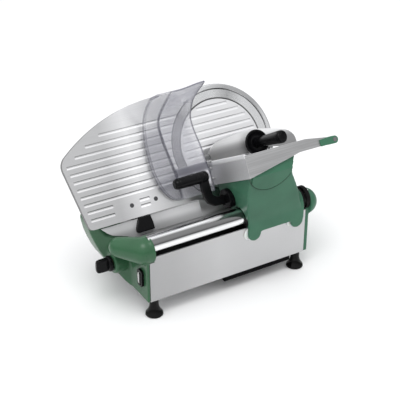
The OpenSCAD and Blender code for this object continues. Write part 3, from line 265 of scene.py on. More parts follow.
class Graph(Nodes):
    """Node tree of one material around a principled shader."""

    def __init__(self, name: str) -> None:
        """Makes the material with a shader, an output and object coordinates.

        Args:
            name: the material's name.
        """
        self.material = bpy.data.materials.new(name)
        self.material.use_nodes = True
        super().__init__(self.material.node_tree)
        self.shader = self.add("ShaderNodeBsdfPrincipled")
        output = self.add("ShaderNodeOutputMaterial")
        self.join(self.shader.outputs["BSDF"], output.inputs["Surface"])
        where = self.add("ShaderNodeTexCoord")
        self.place, self.normal = where.outputs["Object"], where.outputs["Normal"]

    def octaves(self, node: bpy.types.Node, detail: float, rough: float = 0.5) -> Socket:
        """Sets a noise node's octaves.

        Args:
            node: the noise node.
            detail: number of octaves.
            rough: weight of the finer octaves.

        Returns:
            The noise value's socket.
        """
        for name, number in (("Scale", 1.0), ("Detail", detail), ("Roughness", rough)):
            node.inputs[name].default_value = number
        return node.outputs["Fac"]

    def noise(self, scale: float | Point, detail: float = 3.0, rough: float = 0.5) -> Socket:
        """Fractal noise on object coordinates.

        Args:
            scale: features per metre, as one number or for X, Y and Z.
            detail: number of octaves.
            rough: weight of the finer octaves.

        Returns:
            The noise value's socket.
        """
        mapping = self.add("ShaderNodeMapping")
        self.join(self.place, mapping.inputs["Vector"])
        mapping.inputs["Scale"].default_value = scale if isinstance(scale, tuple) else (scale,) * 3
        node = self.add("ShaderNodeTexNoise")
        self.join(mapping.outputs["Vector"], node.inputs["Vector"])
        return self.octaves(node, detail, rough)

    def blade_arm(self) -> Socket:
        """Vector from the blade's centre to the point, which lies across the ground rings."""
        centre = tuple(on_plane(BLADE_AXIS_X, BLADE_AXIS_V, 0.0))
        return self.vectors("SUBTRACT", self.place, centre).outputs["Vector"]

    def radius(self) -> Socket:
        """Distance from the blade's axis."""
        across = self.vectors("CROSS_PRODUCT", self.blade_arm(), tuple(OUT_OF_PLANE))
        return self.vectors("LENGTH", across.outputs["Vector"]).outputs["Value"]

    def rings(self, per_metre: float) -> Socket:
        """Noise of the distance from the blade's axis, which draws fine rings round it.

        Args:
            per_metre: rings per metre of radius.

        Returns:
            The noise value's socket.
        """
        node = self.add("ShaderNodeTexNoise", noise_dimensions="1D")
        self.join(self.math("MULTIPLY", self.radius(), per_metre), node.inputs["W"])
        return self.octaves(node, RING_OCTAVES)

    def dot(self, vector: Socket, direction: np.ndarray) -> Socket:
        """A vector's part along a direction."""
        return self.vectors("DOT_PRODUCT", vector, tuple(direction)).outputs["Value"]

    def turn(self, vector: Socket, ahead: np.ndarray, aside: np.ndarray) -> Socket:
        """Angle of a vector from ahead towards aside, as a share of the circle from -180 degrees on."""
        angle = self.math("ARCTAN2", self.dot(vector, aside), self.dot(vector, ahead))
        return self.math("ADD", self.math("MULTIPLY", angle, 0.5 / math.pi), 0.5)

    def facing(self, direction: np.ndarray, cosines: Span = (0.1, 0.5)) -> tuple[Socket, Socket]:
        """Shares by which the surface faces along a direction of its object and against it.

        Args:
            direction: unit vector in the object's own frame.
            cosines: where a share begins and where it reaches 1.

        Returns:
            Sockets of the two shares, each from 0 to 1.
        """
        along = self.dot(self.normal, direction)
        with_it, against = (self.ranged(self.math("MULTIPLY", along, sign), cosines) for sign in (1.0, -1.0))
        return with_it, against

    def spread(self, value: Socket, low: float = 0.0, high: float = 1.0) -> Socket:
        """Maps the middle of a noise value onto the range from low to high."""
        return self.ranged(value, NOISE_MIDDLE, (low, high))

    def mix(self, share: object, a: object, b: object, blend: str = "MIX") -> Socket:
        """Blends a second colour into a first one.

        Args:
            share: how much of the second colour comes in.
            a, b: sockets or colours.
            blend: how the second colour comes in.

        Returns:
            The colour's socket.
        """
        node = self.add("ShaderNodeMix", data_type="RGBA", blend_type=blend)
        self.feed(node.inputs["Factor"], share)
        for number, value in ((MIX_A, a), (MIX_B, b)):
            self.feed(node.inputs[number], (*value, 1.0) if isinstance(value, tuple) else value)
        return node.outputs[MIX_RESULT]

    def times(self, a: Socket, b: Socket) -> Socket:
        """Product of two colours."""
        return self.mix(1.0, a, b, "MULTIPLY")

    def tones(self, noise: Socket, colour: Colour, factors: Span) -> Socket:
        """A darker and a lighter tone of a colour, mixed by a noise value."""
        return self.mix(self.spread(noise), shade(colour, factors[0]), shade(colour, factors[1]))

    def worn(self, tint: Socket, colour: Colour, wear: Wear) -> Socket:
        """Lightens the edges, where the normal, rounded over the line's width, turns from the surface.

        Args:
            tint: colour of the unworn surface.
            colour: the finish's own colour.
            wear: the worn line.

        Returns:
            The colour's socket, with the line broken by noise.
        """
        soft = self.add("ShaderNodeBevel", samples=WEAR_SAMPLES)
        soft.inputs["Radius"].default_value = wear.width
        surface = self.add("ShaderNodeNewGeometry").outputs["Normal"]
        along = self.vectors("DOT_PRODUCT", soft.outputs["Normal"], surface).outputs["Value"]
        turn = self.ranged(self.math("SUBTRACT", 1.0, along), WEAR_TURN)
        share = self.math("MULTIPLY", turn, self.spread(self.noise(WEAR_SCALE), *WEAR_PATCHES))
        return self.mix(self.math("MULTIPLY", share, wear.strength), tint, shade(colour, wear.tone))

    def bump(self, height: Socket, strength: float, depth: float) -> None:
        """Raises the surface by a height field.

        Args:
            height: the field's socket.
            strength: share of the height that shows.
            depth: the field's full height in metres.
        """
        node = self.add("ShaderNodeBump")
        node.inputs["Strength"].default_value = strength
        node.inputs["Distance"].default_value = depth
        self.join(height, node.inputs["Height"])
        self.join(node.outputs["Normal"], self.shader.inputs["Normal"])

    def set(self, **values: object) -> None:
        """Sets or links the shader's sockets, named in lower case with underscores."""
        for key, value in values.items():
            self.feed(self.shader.inputs[key.replace("_", " ").title().replace("Ior", "IOR")], value)


@dataclass(frozen=True)
class Enamel:
    """Thick stove enamel on a casting: soft orange peel, faint clouds and fine flecks."""

    name: str
    slot: str
    colour: Colour
    roughness: float = 0.36
    roughness_spread: Span = (-0.05, 0.07)
    gloss: float = 0.2
    coat: float = 0.1
    coat_roughness: float = 0.18
    peel: float = 0.16
    peel_scale: float = 260.0
    peel_depth: float = 0.0006
    cloud_scale: float = 14.0
    cloud_tones: Span = (0.88, 1.1)
    fleck_scale: float = 900.0
    fleck_share: float = 0.22
    fleck_tone: float = 1.35
    wear: Wear = Wear(0.0018, 0.5, 2.1)

    def build(self) -> bpy.types.Material:
        """Makes the material.

        Returns:
            The material with its node tree.
        """
        g = Graph(self.name)
        flecks = g.noise(self.fleck_scale, FEW_OCTAVES)
        peel = g.noise(self.peel_scale, FEW_OCTAVES)
        tint = g.tones(g.noise(self.cloud_scale), self.colour, self.cloud_tones)
        tint = g.mix(g.spread(flecks, 0.0, self.fleck_share), tint, shade(self.colour, self.fleck_tone))
        low, high = (self.roughness + part for part in self.roughness_spread)
        g.set(base_color=g.worn(tint, self.colour, self.wear), roughness=g.spread(peel, low, high))
        g.set(coat_weight=self.coat, coat_roughness=self.coat_roughness, specular_ior_level=self.gloss)
        g.bump(peel, self.peel, self.peel_depth)
        return g.material


@dataclass(frozen=True)
class Metal:
    """Bare or plated metal with fine lines in one direction and faint handling clouds.

    The levels are pairs of a place and a brightness that paint reflection bands: painted highlights and
    painted shade where a polished surface would mirror light and dark parts of the room. Places are degrees
    round the blade's axis, degrees of the bar's skin up from its front, or shares of the slicer's length. The
    painted height shade pairs a height in metres with a brightness. The shadow line paints a shadow on what
    faces out within a radius of the blade's axis, and holds that radius and its strength. The rib shading
    paints shade on the flanks of ribs that face down the plane and a highlight on those that face up, the
    wall shade paints darker the faces that look neither out of the plane nor into it, and front is a painted
    shade on what faces straight out of the cutting plane.
    """

    name: str
    slot: str
    colour: Colour
    roughness: float
    brushing: Brushing
    depth: float = 0.05
    contrast: float = 0.06
    # Painted shade on rib flanks that face down the cutting plane, painted highlight on those that face up
    painted_rib_shading: float = 0.0
    rib_painted_highlight: float = 1.1
    rib_painted_shade: float = 0.3
    # Painted shade on faces that look neither out of the cutting plane nor into it, such as rib walls
    painted_wall_shade: float = 0.0
    wall_shade_tone: float = 0.16
    wall_shade_cosines: Span = (0.3, 0.6)
    # Painted shade: factor on the colour of faces that look straight out of the cutting plane
    front: float = 1.0
    front_shade_cosines: Span = (0.85, 0.97)
    fineness: float = 1400.0
    along_scale: float = 7.0
    round_scale: float = 9.0
    even_scale: float = 700.0
    line_octaves: Span = (4.0, 0.6)
    line_height: float = 0.0002
    line_roughness: Span = (0.8, 1.2)
    cloud_scale: float = 9.0
    cloud_share: float = 0.35
    cloud_tone: float = 0.93
    cloud_roughness: float = 0.05
    metallic: float = 1.0
    ring_gloss: float = 0.85
    # Painted reflection bands: places with the brightness painted there
    levels: Pairs = ()
    # Painted shade by height: heights in metres with the brightness painted there
    painted_height_shade: Pairs = ()
    shadow_line: Span = (0.0, 0.0)
    shadow_colour: Colour = (0.01, 0.01, 0.01)
    wear: Wear = Wear(0.0012, 0.4, 1.3)

    def lines(self, g: Graph) -> Socket:
        """Noise that draws the lines.

        Args:
            g: the material's graph.

        Returns:
            The noise value's socket.
        """
        if self.brushing is Brushing.ROUND_BLADE:
            return g.rings(self.fineness)
        scale = {
            Brushing.ALONG_X: (self.along_scale, self.fineness, self.fineness),
            Brushing.ROUND_BAR: (self.fineness, self.round_scale, self.round_scale),
            Brushing.NONE: self.even_scale,
        }[self.brushing]
        return g.noise(scale, *self.line_octaves)

    def painted_sheen(self, g: Graph) -> Socket:
        """Brightness of the painted reflection bands: painted highlight and painted shade.

        Args:
            g: the material's graph.

        Returns:
            The brightness's socket.
        """
        if self.brushing is Brushing.ALONG_X:
            share = g.math("ADD", g.math("MULTIPLY", g.axis(g.place, "X"), 1.0 / SLICER_LENGTH), 0.5)
            return g.bands(share, self.levels)
        if self.brushing is Brushing.ROUND_BLADE:
            share = g.turn(g.blade_arm(), ALONG_BAR, UP_PLANE)
        else:
            share = g.turn(g.normal, -BACKWARD, UPWARD)
        return g.bands(share, tuple((angle / FULL_TURN + 0.5, level) for angle, level in self.levels))

    def shaped(self, g: Graph, tint: Socket, lines: Socket) -> Socket:
        """Paints shade and highlight into a tint by the way the surface faces.

        Args:
            g: the material's graph.
            tint: colour of the lined metal.
            lines: noise of the lines.

        Returns:
            The colour's socket.
        """
        # Painted shade on the faces that look straight out of the cutting plane
        if self.front != 1.0:
            factors = (self.front * (1 - 2 * self.contrast), self.front * (1 + self.contrast))
            flat = g.facing(OUT_OF_PLANE, self.front_shade_cosines)[0]
            tint = g.mix(flat, tint, g.tones(lines, self.colour, factors))
        # Painted shade on rib flanks facing down the plane, painted highlight on those facing up
        if self.painted_rib_shading:
            up, down = g.facing(UP_PLANE)
            for share, tone in ((down, self.rib_painted_shade), (up, self.rib_painted_highlight)):
                tint = g.mix(g.math("MULTIPLY", share, self.painted_rib_shading), tint, shade(self.colour, tone))
        # Painted shade on the walls that look neither out of the plane nor into it
        if self.painted_wall_shade:
            wall = g.math("SUBTRACT", 1.0, g.math("ADD", *g.facing(OUT_OF_PLANE, self.wall_shade_cosines)))
            share = g.math("MULTIPLY", wall, self.painted_wall_shade)
            tint = g.mix(share, tint, shade(self.colour, self.wall_shade_tone))
        return tint

    def build(self) -> bpy.types.Material:
        """Makes the material.

        Returns:
            The material with its node tree.
        """
        g = Graph(self.name)
        lines = self.lines(g)
        clouds = g.noise(self.cloud_scale, FEW_OCTAVES)
        tint = g.tones(lines, self.colour, (1 - self.contrast, 1 + self.contrast))
        tint = g.mix(g.spread(clouds, 0.0, self.cloud_share), tint, shade(self.colour, self.cloud_tone))
        tint = self.shaped(g, tint, lines)
        # Painted reflection bands of highlight and shade
        if self.levels:
            tint = g.times(tint, self.painted_sheen(g))
        # Painted shade that darkens the colour by height
        if self.painted_height_shade:
            tint = g.times(tint, g.bands(g.axis(g.place, "Z"), self.painted_height_shade))
        tint = g.worn(tint, self.colour, self.wear)
        reach, strength = self.shadow_line
        if strength:
            near = g.math("MULTIPLY", g.math("LESS_THAN", g.radius(), reach), g.facing(OUT_OF_PLANE)[0])
            tint = g.mix(g.math("MULTIPLY", near, strength), tint, self.shadow_colour)
        low, high = (self.roughness * part for part in self.line_roughness)
        smears = g.spread(clouds, 0.0, self.cloud_roughness)
        g.set(base_color=tint, roughness=g.math("ADD", g.spread(lines, low, high), smears))
        g.set(metallic=self.metallic)
        if self.brushing is Brushing.ROUND_BLADE:
            g.set(anisotropic=self.ring_gloss, tangent=g.blade_arm())
        g.bump(lines, self.depth, self.line_height)
        return g.material


@dataclass(frozen=True)
class Moulding:
    """Moulded plastic or rubber with a fine grain, a little dust and worn clouds."""

    name: str
    slot: str
    colour: Colour
    roughness: float
    roughness_spread: Span = (-0.05, 0.08)
    gloss: float = 0.35
    subsurface: float = 0.0
    grain: float = 1500.0
    grain_share: float = 0.18
    grain_tone: float = 1.6
    grain_height: float = 0.0003
    depth: float = 0.08
    cloud_scale: float = 30.0
    cloud_tones: Span = (0.85, 1.2)
    wear: Wear = Wear(0.001, 0.5, 3.0)

    def build(self) -> bpy.types.Material:
        """Makes the material.

        Returns:
            The material with its node tree.
        """
        g = Graph(self.name)
        grain = g.noise(self.grain, FEW_OCTAVES)
        clouds = g.noise(self.cloud_scale)
        tint = g.tones(clouds, self.colour, self.cloud_tones)
        tint = g.mix(g.spread(grain, 0.0, self.grain_share), tint, shade(self.colour, self.grain_tone))
        low, high = (self.roughness + part for part in self.roughness_spread)
        g.set(base_color=g.worn(tint, self.colour, self.wear), roughness=g.spread(clouds, low, high))
        g.set(specular_ior_level=self.gloss)
        if self.subsurface:
            g.set(subsurface_weight=self.subsurface)
        g.bump(grain, self.depth, self.grain_height)
        return g.material


@dataclass(frozen=True)
class TwoTone:
    """Moulded rocker in two colours, parted by a plane at a depth of the base, in millimetres."""

    name: str
    slot: str
    rear: Colour
    front: Colour
    parting: float
    roughness: float
    roughness_spread: float = 0.05
    grain: float = 1500.0
    grain_share: float = 0.08
    grain_colour: Colour = (0.2, 0.2, 0.2)
    grain_height: float = 0.0002
    depth: float = 0.05

    def build(self) -> bpy.types.Material:
        """Makes the material.

        Returns:
            The material with its node tree.
        """
        g = Graph(self.name)
        place = float(on_base(0.0, self.parting, 0.0)[1])
        behind = g.math("GREATER_THAN", g.axis(g.place, "Y"), place)
        grain = g.noise(self.grain, FEW_OCTAVES)
        tint = g.mix(behind, self.front, self.rear)
        g.set(base_color=g.mix(g.spread(grain, 0.0, self.grain_share), tint, self.grain_colour))
        low, high = self.roughness - self.roughness_spread, self.roughness + self.roughness_spread
        g.set(roughness=g.spread(grain, low, high))
        g.bump(grain, self.depth, self.grain_height)
        return g.material


@dataclass(frozen=True)
class ClearSheet:
    """Clear moulded sheet with a cool tint: a thin veil all over, dense along its edges and folds and painted
    dark there as shade.

    The piece carries two values at its points: veil, the share of light that its sheet holds back, and edge,
    the share of painted shade: 1 on borders and folds, part way on the painted shade bands, and 0 elsewhere.
    """

    name: str
    slot: str
    colour: Colour
    edge_shade_colour: Colour
    roughness: float
    roughness_spread: Span = (0.6, 1.5)
    refraction: float = 1.49
    coat: float = 0.4
    coat_roughness: float = 0.05
    edge_opacity: float = 0.55
    wiping_scale: Point = (30.0, 60.0, 60.0)
    wiping_tones: Span = (0.95, 1.0)
    wiping_haze: Span = (0.9, 1.1)
    wiping_height: float = 0.0002
    depth: float = 0.01

    def build(self) -> bpy.types.Material:
        """Makes the material.

        Returns:
            The material with its node tree.
        """
        g = Graph(self.name)
        wiping = g.noise(self.wiping_scale)
        veil, edge = (g.add("ShaderNodeAttribute", attribute_name=n).outputs["Fac"] for n in ("veil", "edge"))
        haze = g.math("MULTIPLY", veil, g.spread(wiping, *self.wiping_haze))
        # Painted shade: the edge value mixes in the dark edge colour and makes the sheet denser there
        g.set(base_color=g.mix(edge, g.tones(wiping, self.colour, self.wiping_tones), self.edge_shade_colour))
        dense = g.math("ADD", haze, g.math("MULTIPLY", edge, self.edge_opacity))
        low, high = (self.roughness * part for part in self.roughness_spread)
        g.set(alpha=g.math("MINIMUM", dense, 1.0), roughness=g.spread(wiping, low, high))
        g.set(ior=self.refraction, coat_weight=self.coat, coat_roughness=self.coat_roughness)
        g.bump(wiping, self.depth, self.wiping_height)
        return g.material


GREEN = Enamel("green_enamel", "green_paint", (0.043, 0.136, 0.082))
# Painted shade: a darker copy of the same green enamel for the left end, with more gloss
SHADED_END_GREEN = Enamel(
    "green_enamel_shaded_end", "green_paint", (0.029, 0.102, 0.046), 0.32, gloss=0.3, coat=0.15, peel=0.05,
)
# Painted reflection: darker towards the left end of the panel
PANEL = Metal(
    "panel_aluminium", "panel", (0.56, 0.56, 0.565), 0.36, Brushing.ALONG_X, contrast=0.05,
    levels=((0.1, 0.7), (0.25, 0.79), (0.45, 0.99), (0.9, 1.0)),
)
# Painted shade and highlight on the rib flanks and walls, and painted reflection bands along its length
PLATE = Metal(
    "plate_aluminium", "plate", (0.62, 0.62, 0.625), 0.34, Brushing.ALONG_X, depth=0.06, painted_rib_shading=0.55,
    painted_wall_shade=0.85, levels=((0.14, 0.95), (0.24, 1.45), (0.34, 1.2), (0.6, 1.0)),
)
# Painted shade and highlight on the rib flanks, and painted shade on their walls
COVER = Metal(
    "cover_aluminium", "bright", (0.90, 0.90, 0.91), 0.34, Brushing.ALONG_X, contrast=0.05, painted_rib_shading=0.5,
    rib_painted_highlight=0.9, painted_wall_shade=0.6,
)
# Painted reflection bands along its length, and painted shade that darkens its lower part under the plate
APRON = Metal(
    "apron_satin", "bright", (0.90, 0.90, 0.91), 0.5, Brushing.ALONG_X, depth=0.04, contrast=0.04,
    metallic=0.4, levels=((0.09, 0.58), (0.29, 0.68), (0.45, 1.15)),
    painted_height_shade=((0.195, 0.5), (0.204, 0.6), (0.216, 1.0)),
)
SATIN = Metal(
    "satin_sheet", "bright", (0.74, 0.74, 0.75), 0.5, Brushing.ALONG_X, depth=0.04, contrast=0.04,
    metallic=0.4,
)
# Painted reflection bands along its length, and painted shade that darkens its lower part
PUSHER = Metal(
    "pusher_sheet", "bright", (0.74, 0.74, 0.745), 0.4, Brushing.ALONG_X, metallic=0.3,
    levels=((0.55, 0.72), (0.74, 1.25)), painted_height_shade=((0.34, 0.3), (0.350, 0.45), (0.362, 1.0)),
)
# Painted reflection fans round the blade's axis, and a painted shadow line just inside the cover's rim
KNIFE = Metal(
    "ground_blade", "bright", (0.86, 0.865, 0.87), 0.24, Brushing.ROUND_BLADE, contrast=0.05, fineness=1500.0,
    shadow_line=(0.1281, 0.75),
    levels=((-180, 0.17), (-155, 0.15), (-100, 0.9), (0, 0.78), (45, 1.08), (66, 0.68), (85, 1.12),
            (110, 1.12), (140, 0.4), (180, 0.17)),
)
# Painted reflection: a darker band between 35 and 70 degrees round the blade's axis
RING = Metal(
    "polished_ring", "bright", (0.74, 0.745, 0.75), 0.2, Brushing.ROUND_BLADE, depth=0.03, contrast=0.04,
    fineness=1500.0, levels=((-180, 1.0), (15, 1.0), (35, 0.65), (70, 0.65), (105, 1.15), (180, 1.0)),
)
# Painted reflection: light and dark bands round the bar's skin
CHROME = Metal(
    "chromed_bar", "bar", (0.90, 0.905, 0.91), 0.12, Brushing.ROUND_BAR, depth=0.02, contrast=0.02,
    fineness=1600.0,
    levels=((-90, 0.3), (-28, 1.0), (4, 1.0), (22, 0.28), (55, 0.22), (69, 0.95), (75, 0.95), (90, 0.38)),
)
# Painted shade on the faces that look straight out of the cutting plane
TRAY = Metal(
    "tray_aluminium", "tray_metal", (0.76, 0.76, 0.765), 0.46, Brushing.ALONG_X, depth=0.06, contrast=0.12,
    front=0.64, fineness=420.0,
)
MACHINED = Metal("machined_steel", "inner_steel", (0.45, 0.455, 0.46), 0.34, Brushing.NONE, depth=0.04)
BLUED = Metal(
    "blued_screws", "inner_steel", (0.10, 0.10, 0.105), 0.4, Brushing.NONE, depth=0.04, contrast=0.08,
)
BRONZE = Metal("bearing_bronze", "bronze", (0.50, 0.33, 0.14), 0.4, Brushing.NONE, contrast=0.08)
BLACK = Moulding("black_moulding", "black_plastic", (0.0035, 0.0035, 0.004), 0.2, gloss=0.12)
MATT_BLACK = Moulding("matt_black_moulding", "black_plastic", (0.003, 0.003, 0.0035), 0.6, gloss=0.04)
RUBBER = Moulding(
    "black_rubber", "black_rubber", (0.005, 0.005, 0.005), 0.42, gloss=0.1, grain=900.0, depth=0.12,
)
FOOT = Moulding(
    "foot_moulding", "black_rubber", (0.003, 0.003, 0.003), 0.12, gloss=0.15, grain=900.0, depth=0.02,
)
NYLON = Moulding("white_nylon", "nylon", (0.80, 0.79, 0.76), 0.45, subsurface=0.1, grain=900.0, depth=0.05)
# Painted shadow: the dark line below the carriage's lug
LUG_SHADOW = Moulding("seam_shadow", "green_paint", (0.012, 0.035, 0.022), 0.6)
ROCKER = TwoTone("rocker_moulding", "nylon", (0.75, 0.75, 0.73), (0.004, 0.004, 0.004), 33.0, 0.32)
# Its second colour is the painted shade along the guard's edges and folds
CLEAR = ClearSheet("clear_guard", "clear_guard", (0.64, 0.64, 0.70), (0.085, 0.085, 0.115), 0.06)

Finish = Enamel | Metal | Moulding | TwoTone | ClearSheet

DRESS: dict[Finish, tuple[str, ...]] = {
    GREEN: ("right_end", "carriage", "tray_lug", "rod_bracket"),
    SHADED_END_GREEN: ("left_end",),
    PANEL: ("base_shell", "blade_support", "gauge_bracket"),
    PLATE: ("gauge_plate",),
    COVER: ("blade_cover",),
    APRON: ("apron_sheet",),
    SATIN: ("slice_deflector",),
    PUSHER: ("pusher_arm",),
    KNIFE: ("blade",),
    RING: ("ring_guard",),
    CHROME: ("slide_bar", "pusher_rod"),
    TRAY: ("tray",),
    MACHINED: (
        "base_floor", "foot_bolts", "blade_hub", "blade_bearings", "blade_screws", "blade_axle",
        "ring_screws", "cover_rod", "motor", "motor_bracket", "motor_pulley", "cam_follower", "gauge_guides",
        "cam_shaft", "scroll_cam", "guard_screws",
    ),
    BLUED: ("gauge_screws",),
    BRONZE: ("shaft_bush",),
    MATT_BLACK: ("bottom_pan",),
    BLACK: (
        "switch_bezel", "cover_knob", "gauge_arm", "index_knob", "side_cap", "handle_grip", "handle_stalk",
        "pusher_flange", "pusher_grip",
    ),
    FOOT: ("feet", "cord_gland"),
    RUBBER: ("channel_strip", "bar_buffer", "drive_belt", "bar_wipers"),
    NYLON: ("carriage_bushes", "carriage_pads", "pusher_sleeve"),
    ROCKER: ("switch_rocker",),
    CLEAR: ("guard",),
}


@dataclass
class Surface:
    """Closed mesh made from whole arrays: points and the faces between them."""

    points: np.ndarray
    faces: list[np.ndarray]

    @staticmethod
    def quads(rows: int, columns: int, wrap: bool) -> np.ndarray:
        """Corner numbers of the quads of a grid.

        Args:
            rows, columns: size of the grid of points.
            wrap: whether the last column joins the first.

        Returns:
            Array with four corner numbers per quad.
        """
        number = np.arange(rows * columns).reshape(rows, columns)
        if wrap:
            number = np.concatenate([number, number[:, :1]], 1)
        corners = (number[:-1, :-1], number[:-1, 1:], number[1:, 1:], number[1:, :-1])
        return np.stack([c.ravel() for c in corners], -1)

    @classmethod
    def tube(cls, rings: np.ndarray) -> Surface:
        """Skin over closed rings of points, with a pole in the middle of the first and last ring.

        Args:
            rings: array of rings, points round each ring and coordinates.

        Returns:
            The closed surface.
        """
        rows, columns = rings.shape[:2]
        poles = rings[[0, -1]].mean(1)
        points = np.concatenate([rings.reshape(-1, 3), poles])
        here = np.arange(columns)
        ahead = np.roll(here, -1)
        low = np.stack([ahead, here, np.full(columns, rows * columns)], -1)
        last = (rows - 1) * columns
        high = np.stack([last + here, last + ahead, np.full(columns, rows * columns + 1)], -1)
        return cls(points, [cls.quads(rows, columns, True), low, high])

    @classmethod
    def sheet(cls, front: np.ndarray, back: np.ndarray) -> Surface:
        """Closed sheet between two grids of points of the same size, with its four edges.

        Args:
            front, back: grids of points on the two faces.

        Returns:
            The closed surface.
        """
        rows, columns = front.shape[:2]
        loop = np.concatenate([front, back[::-1]])
        faces = cls.quads(2 * rows + 1, columns, False) % (2 * rows * columns)
        left = np.arange(rows) * columns
        mirror = (2 * rows - 1 - np.arange(rows)) * columns
        near = np.stack([left[:-1], left[1:], mirror[1:], mirror[:-1]], -1)
        far = near[:, ::-1] + columns - 1
        return cls(loop.reshape(-1, 3), [faces, near, far])

    def added(self, other: Surface) -> Surface:
        """This surface and another one as one mesh, both facing outwards.

        Args:
            other: the surface to add.

        Returns:
            The joined surface.
        """
        start = len(self.points)
        faces = self.outward().faces + [f + start for f in other.outward().faces]
        return Surface(np.concatenate([self.points, other.points]), faces)

    def outward(self) -> Surface:
        """Turns the faces outwards, by the sign of the volume that they enclose.

        Returns:
            This surface.
        """
        fans = [f[:, [0, k, k + 1]] for f in self.faces for k in range(1, f.shape[1] - 1)]
        corners = np.concatenate(fans).T
        a, b, c = (self.points[corner] - self.points.mean(0) for corner in corners)
        if np.einsum("ij,ij->", a, np.cross(b, c)) < 0:
            self.faces = [f[:, ::-1] for f in self.faces]
        return self

    def to_object(self, name: str, crease: float) -> bpy.types.Object:
        """Makes a smooth-shaded object of the scene.

        Args:
            name: the object's name.
            crease: angle in degrees above which an edge stays sharp.

        Returns:
            The new object.
        """
        self.outward()
        mesh = bpy.data.meshes.new(name)
        mesh.from_pydata(self.points.tolist(), [], [f for part in self.faces for f in part.tolist()])
        mesh.validate()
        mesh.shade_smooth()
        mesh.set_sharp_from_angle(angle=math.radians(crease))
        obj = bpy.data.objects.new(name, mesh)
        bpy.context.scene.collection.objects.link(obj)
        return obj


def smoothstep(x: np.ndarray, low: float, high: float) -> np.ndarray:
    """Smooth rise from 0 at low to 1 at high: t*t*(3 - 2t)."""
    t = np.clip((x - low) / (high - low), 0.0, 1.0)
    return t * t * (3.0 - 2.0 * t)


def eased(x: np.ndarray, ease: Ease) -> np.ndarray:
    """An amount that comes in smoothly between two places."""
    amount, low, high = ease
    return amount * smoothstep(x, low, high)


def bell(distance: np.ndarray, line: Span) -> np.ndarray:
    """Bell curve round a line with a strength and a width: strength times exp(-(d / width)^2)."""
    strength, width = line
    return strength * np.exp(-((distance / width) ** 2))


def round_angles(count: int) -> np.ndarray:
    """Even angles round a circle, as one row."""
    return np.linspace(0.0, 2 * np.pi, count, endpoint=False)[None, :]


def superellipse(half: Span, power: float, count: int) -> tuple[np.ndarray, np.ndarray]:
    """Closed curve |p / a|^power + |q / b|^power = 1.

    Args:
        half: half widths a and b.
        power: 2 for an ellipse, more for a squarer curve.
        count: points round the curve.

    Returns:
        Rows of the points' p and q.
    """
    turn = round_angles(count)
    p, q = (h * np.sign(f) * np.abs(f) ** (2 / power) for h, f in zip(half, (np.cos(turn), np.sin(turn))))
    return p, q


def domed(power: int, tip: float, count: int) -> tuple[np.ndarray, np.ndarray]:
    """Steps t along a body that closes round at its far end: its size there is (1 - t^power)^(1 / power).

    Args:
        power: higher for a flatter end.
        tip: distance of the last step from the end, as a share of the length.
        count: steps over the end.

    Returns:
        Columns of t, from 0 to nearly 1, and of the size.
    """
    body = np.linspace(0.0, 0.8, 8)
    end = 1 - np.geomspace(0.16, tip, count)
    t = np.concatenate([body, end])[:, None]
    return t, (1 - t**power) ** (1 / power)


def rounded(profile: Pairs, rounds: int = 3) -> np.ndarray:
    """A profile with its corners cut: each round puts points at a quarter and three quarters of every side.

    Args:
        profile: corners of the profile.
        rounds: how often the corners are cut.

    Returns:
        Array of the rounded profile's points, with the ends kept.
    """
    line = np.array(profile)
    for _ in range(rounds):
        pairs = np.stack([0.75 * line[:-1] + 0.25 * line[1:], 0.25 * line[:-1] + 0.75 * line[1:]], 1)
        line = np.concatenate([line[:1], pairs.reshape(-1, 2), line[-1:]])
    return line


def turned(profile: np.ndarray, start: np.ndarray, axis: np.ndarray, count: int = 64) -> Surface:
    """Body of revolution: start + h axis + r (cos b e1 + sin b e2), for a profile's heights h and radii r.

    Args:
        profile: rows of height and radius in millimetres.
        start: point of the frame at height 0, in metres.
        axis: unit vector of the axis.
        count: points round the axis.

    Returns:
        The closed surface.
    """
    nearly_along_bar = abs(axis[0]) > 0.7
    e1 = np.cross(axis, BACKWARD if nearly_along_bar else ALONG_BAR)
    e1 /= np.linalg.norm(e1)
    e2 = np.cross(axis, e1)
    b = round_angles(count).T
    spokes = np.cos(b) * e1 + np.sin(b) * e2
    height, radius = (column[:, None, None] * MM for column in profile.T)
    return Surface.tube(start + height * axis + radius * spokes)


class Wardrobe:
    """Keeps one material per finish and dresses objects with it."""

    def __init__(self) -> None:
        """Starts with no material made."""
        self.made: dict[Finish, bpy.types.Material] = {}

    def material(self, finish: Finish) -> bpy.types.Material:
        """The finish's material, made at its first use.

        Args:
            finish: the finish.

        Returns:
            Its material.
        """
        if finish not in self.made:
            self.made[finish] = finish.build()
        return self.made[finish]

    def dress(self, obj: bpy.types.Object, finish: Finish) -> None:
        """Gives an object one finish all over."""
        obj.data.materials.clear()
        obj.data.materials.append(self.material(finish))

    def piece(self, obj: bpy.types.Object, body: str, finish: Finish, *nodes: str) -> None:
        """Dresses a new piece and fixes it to a body.

        Args:
            obj: the piece.
            body: body that it rides on.
            finish: its finish.
            nodes: CAD nodes that it stands for.
        """
        self.dress(obj, finish)
        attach(obj, body)
        if nodes:
            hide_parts(*nodes)
        LOG.info("%s: new piece on %s, %s", obj.name, body, finish.name)


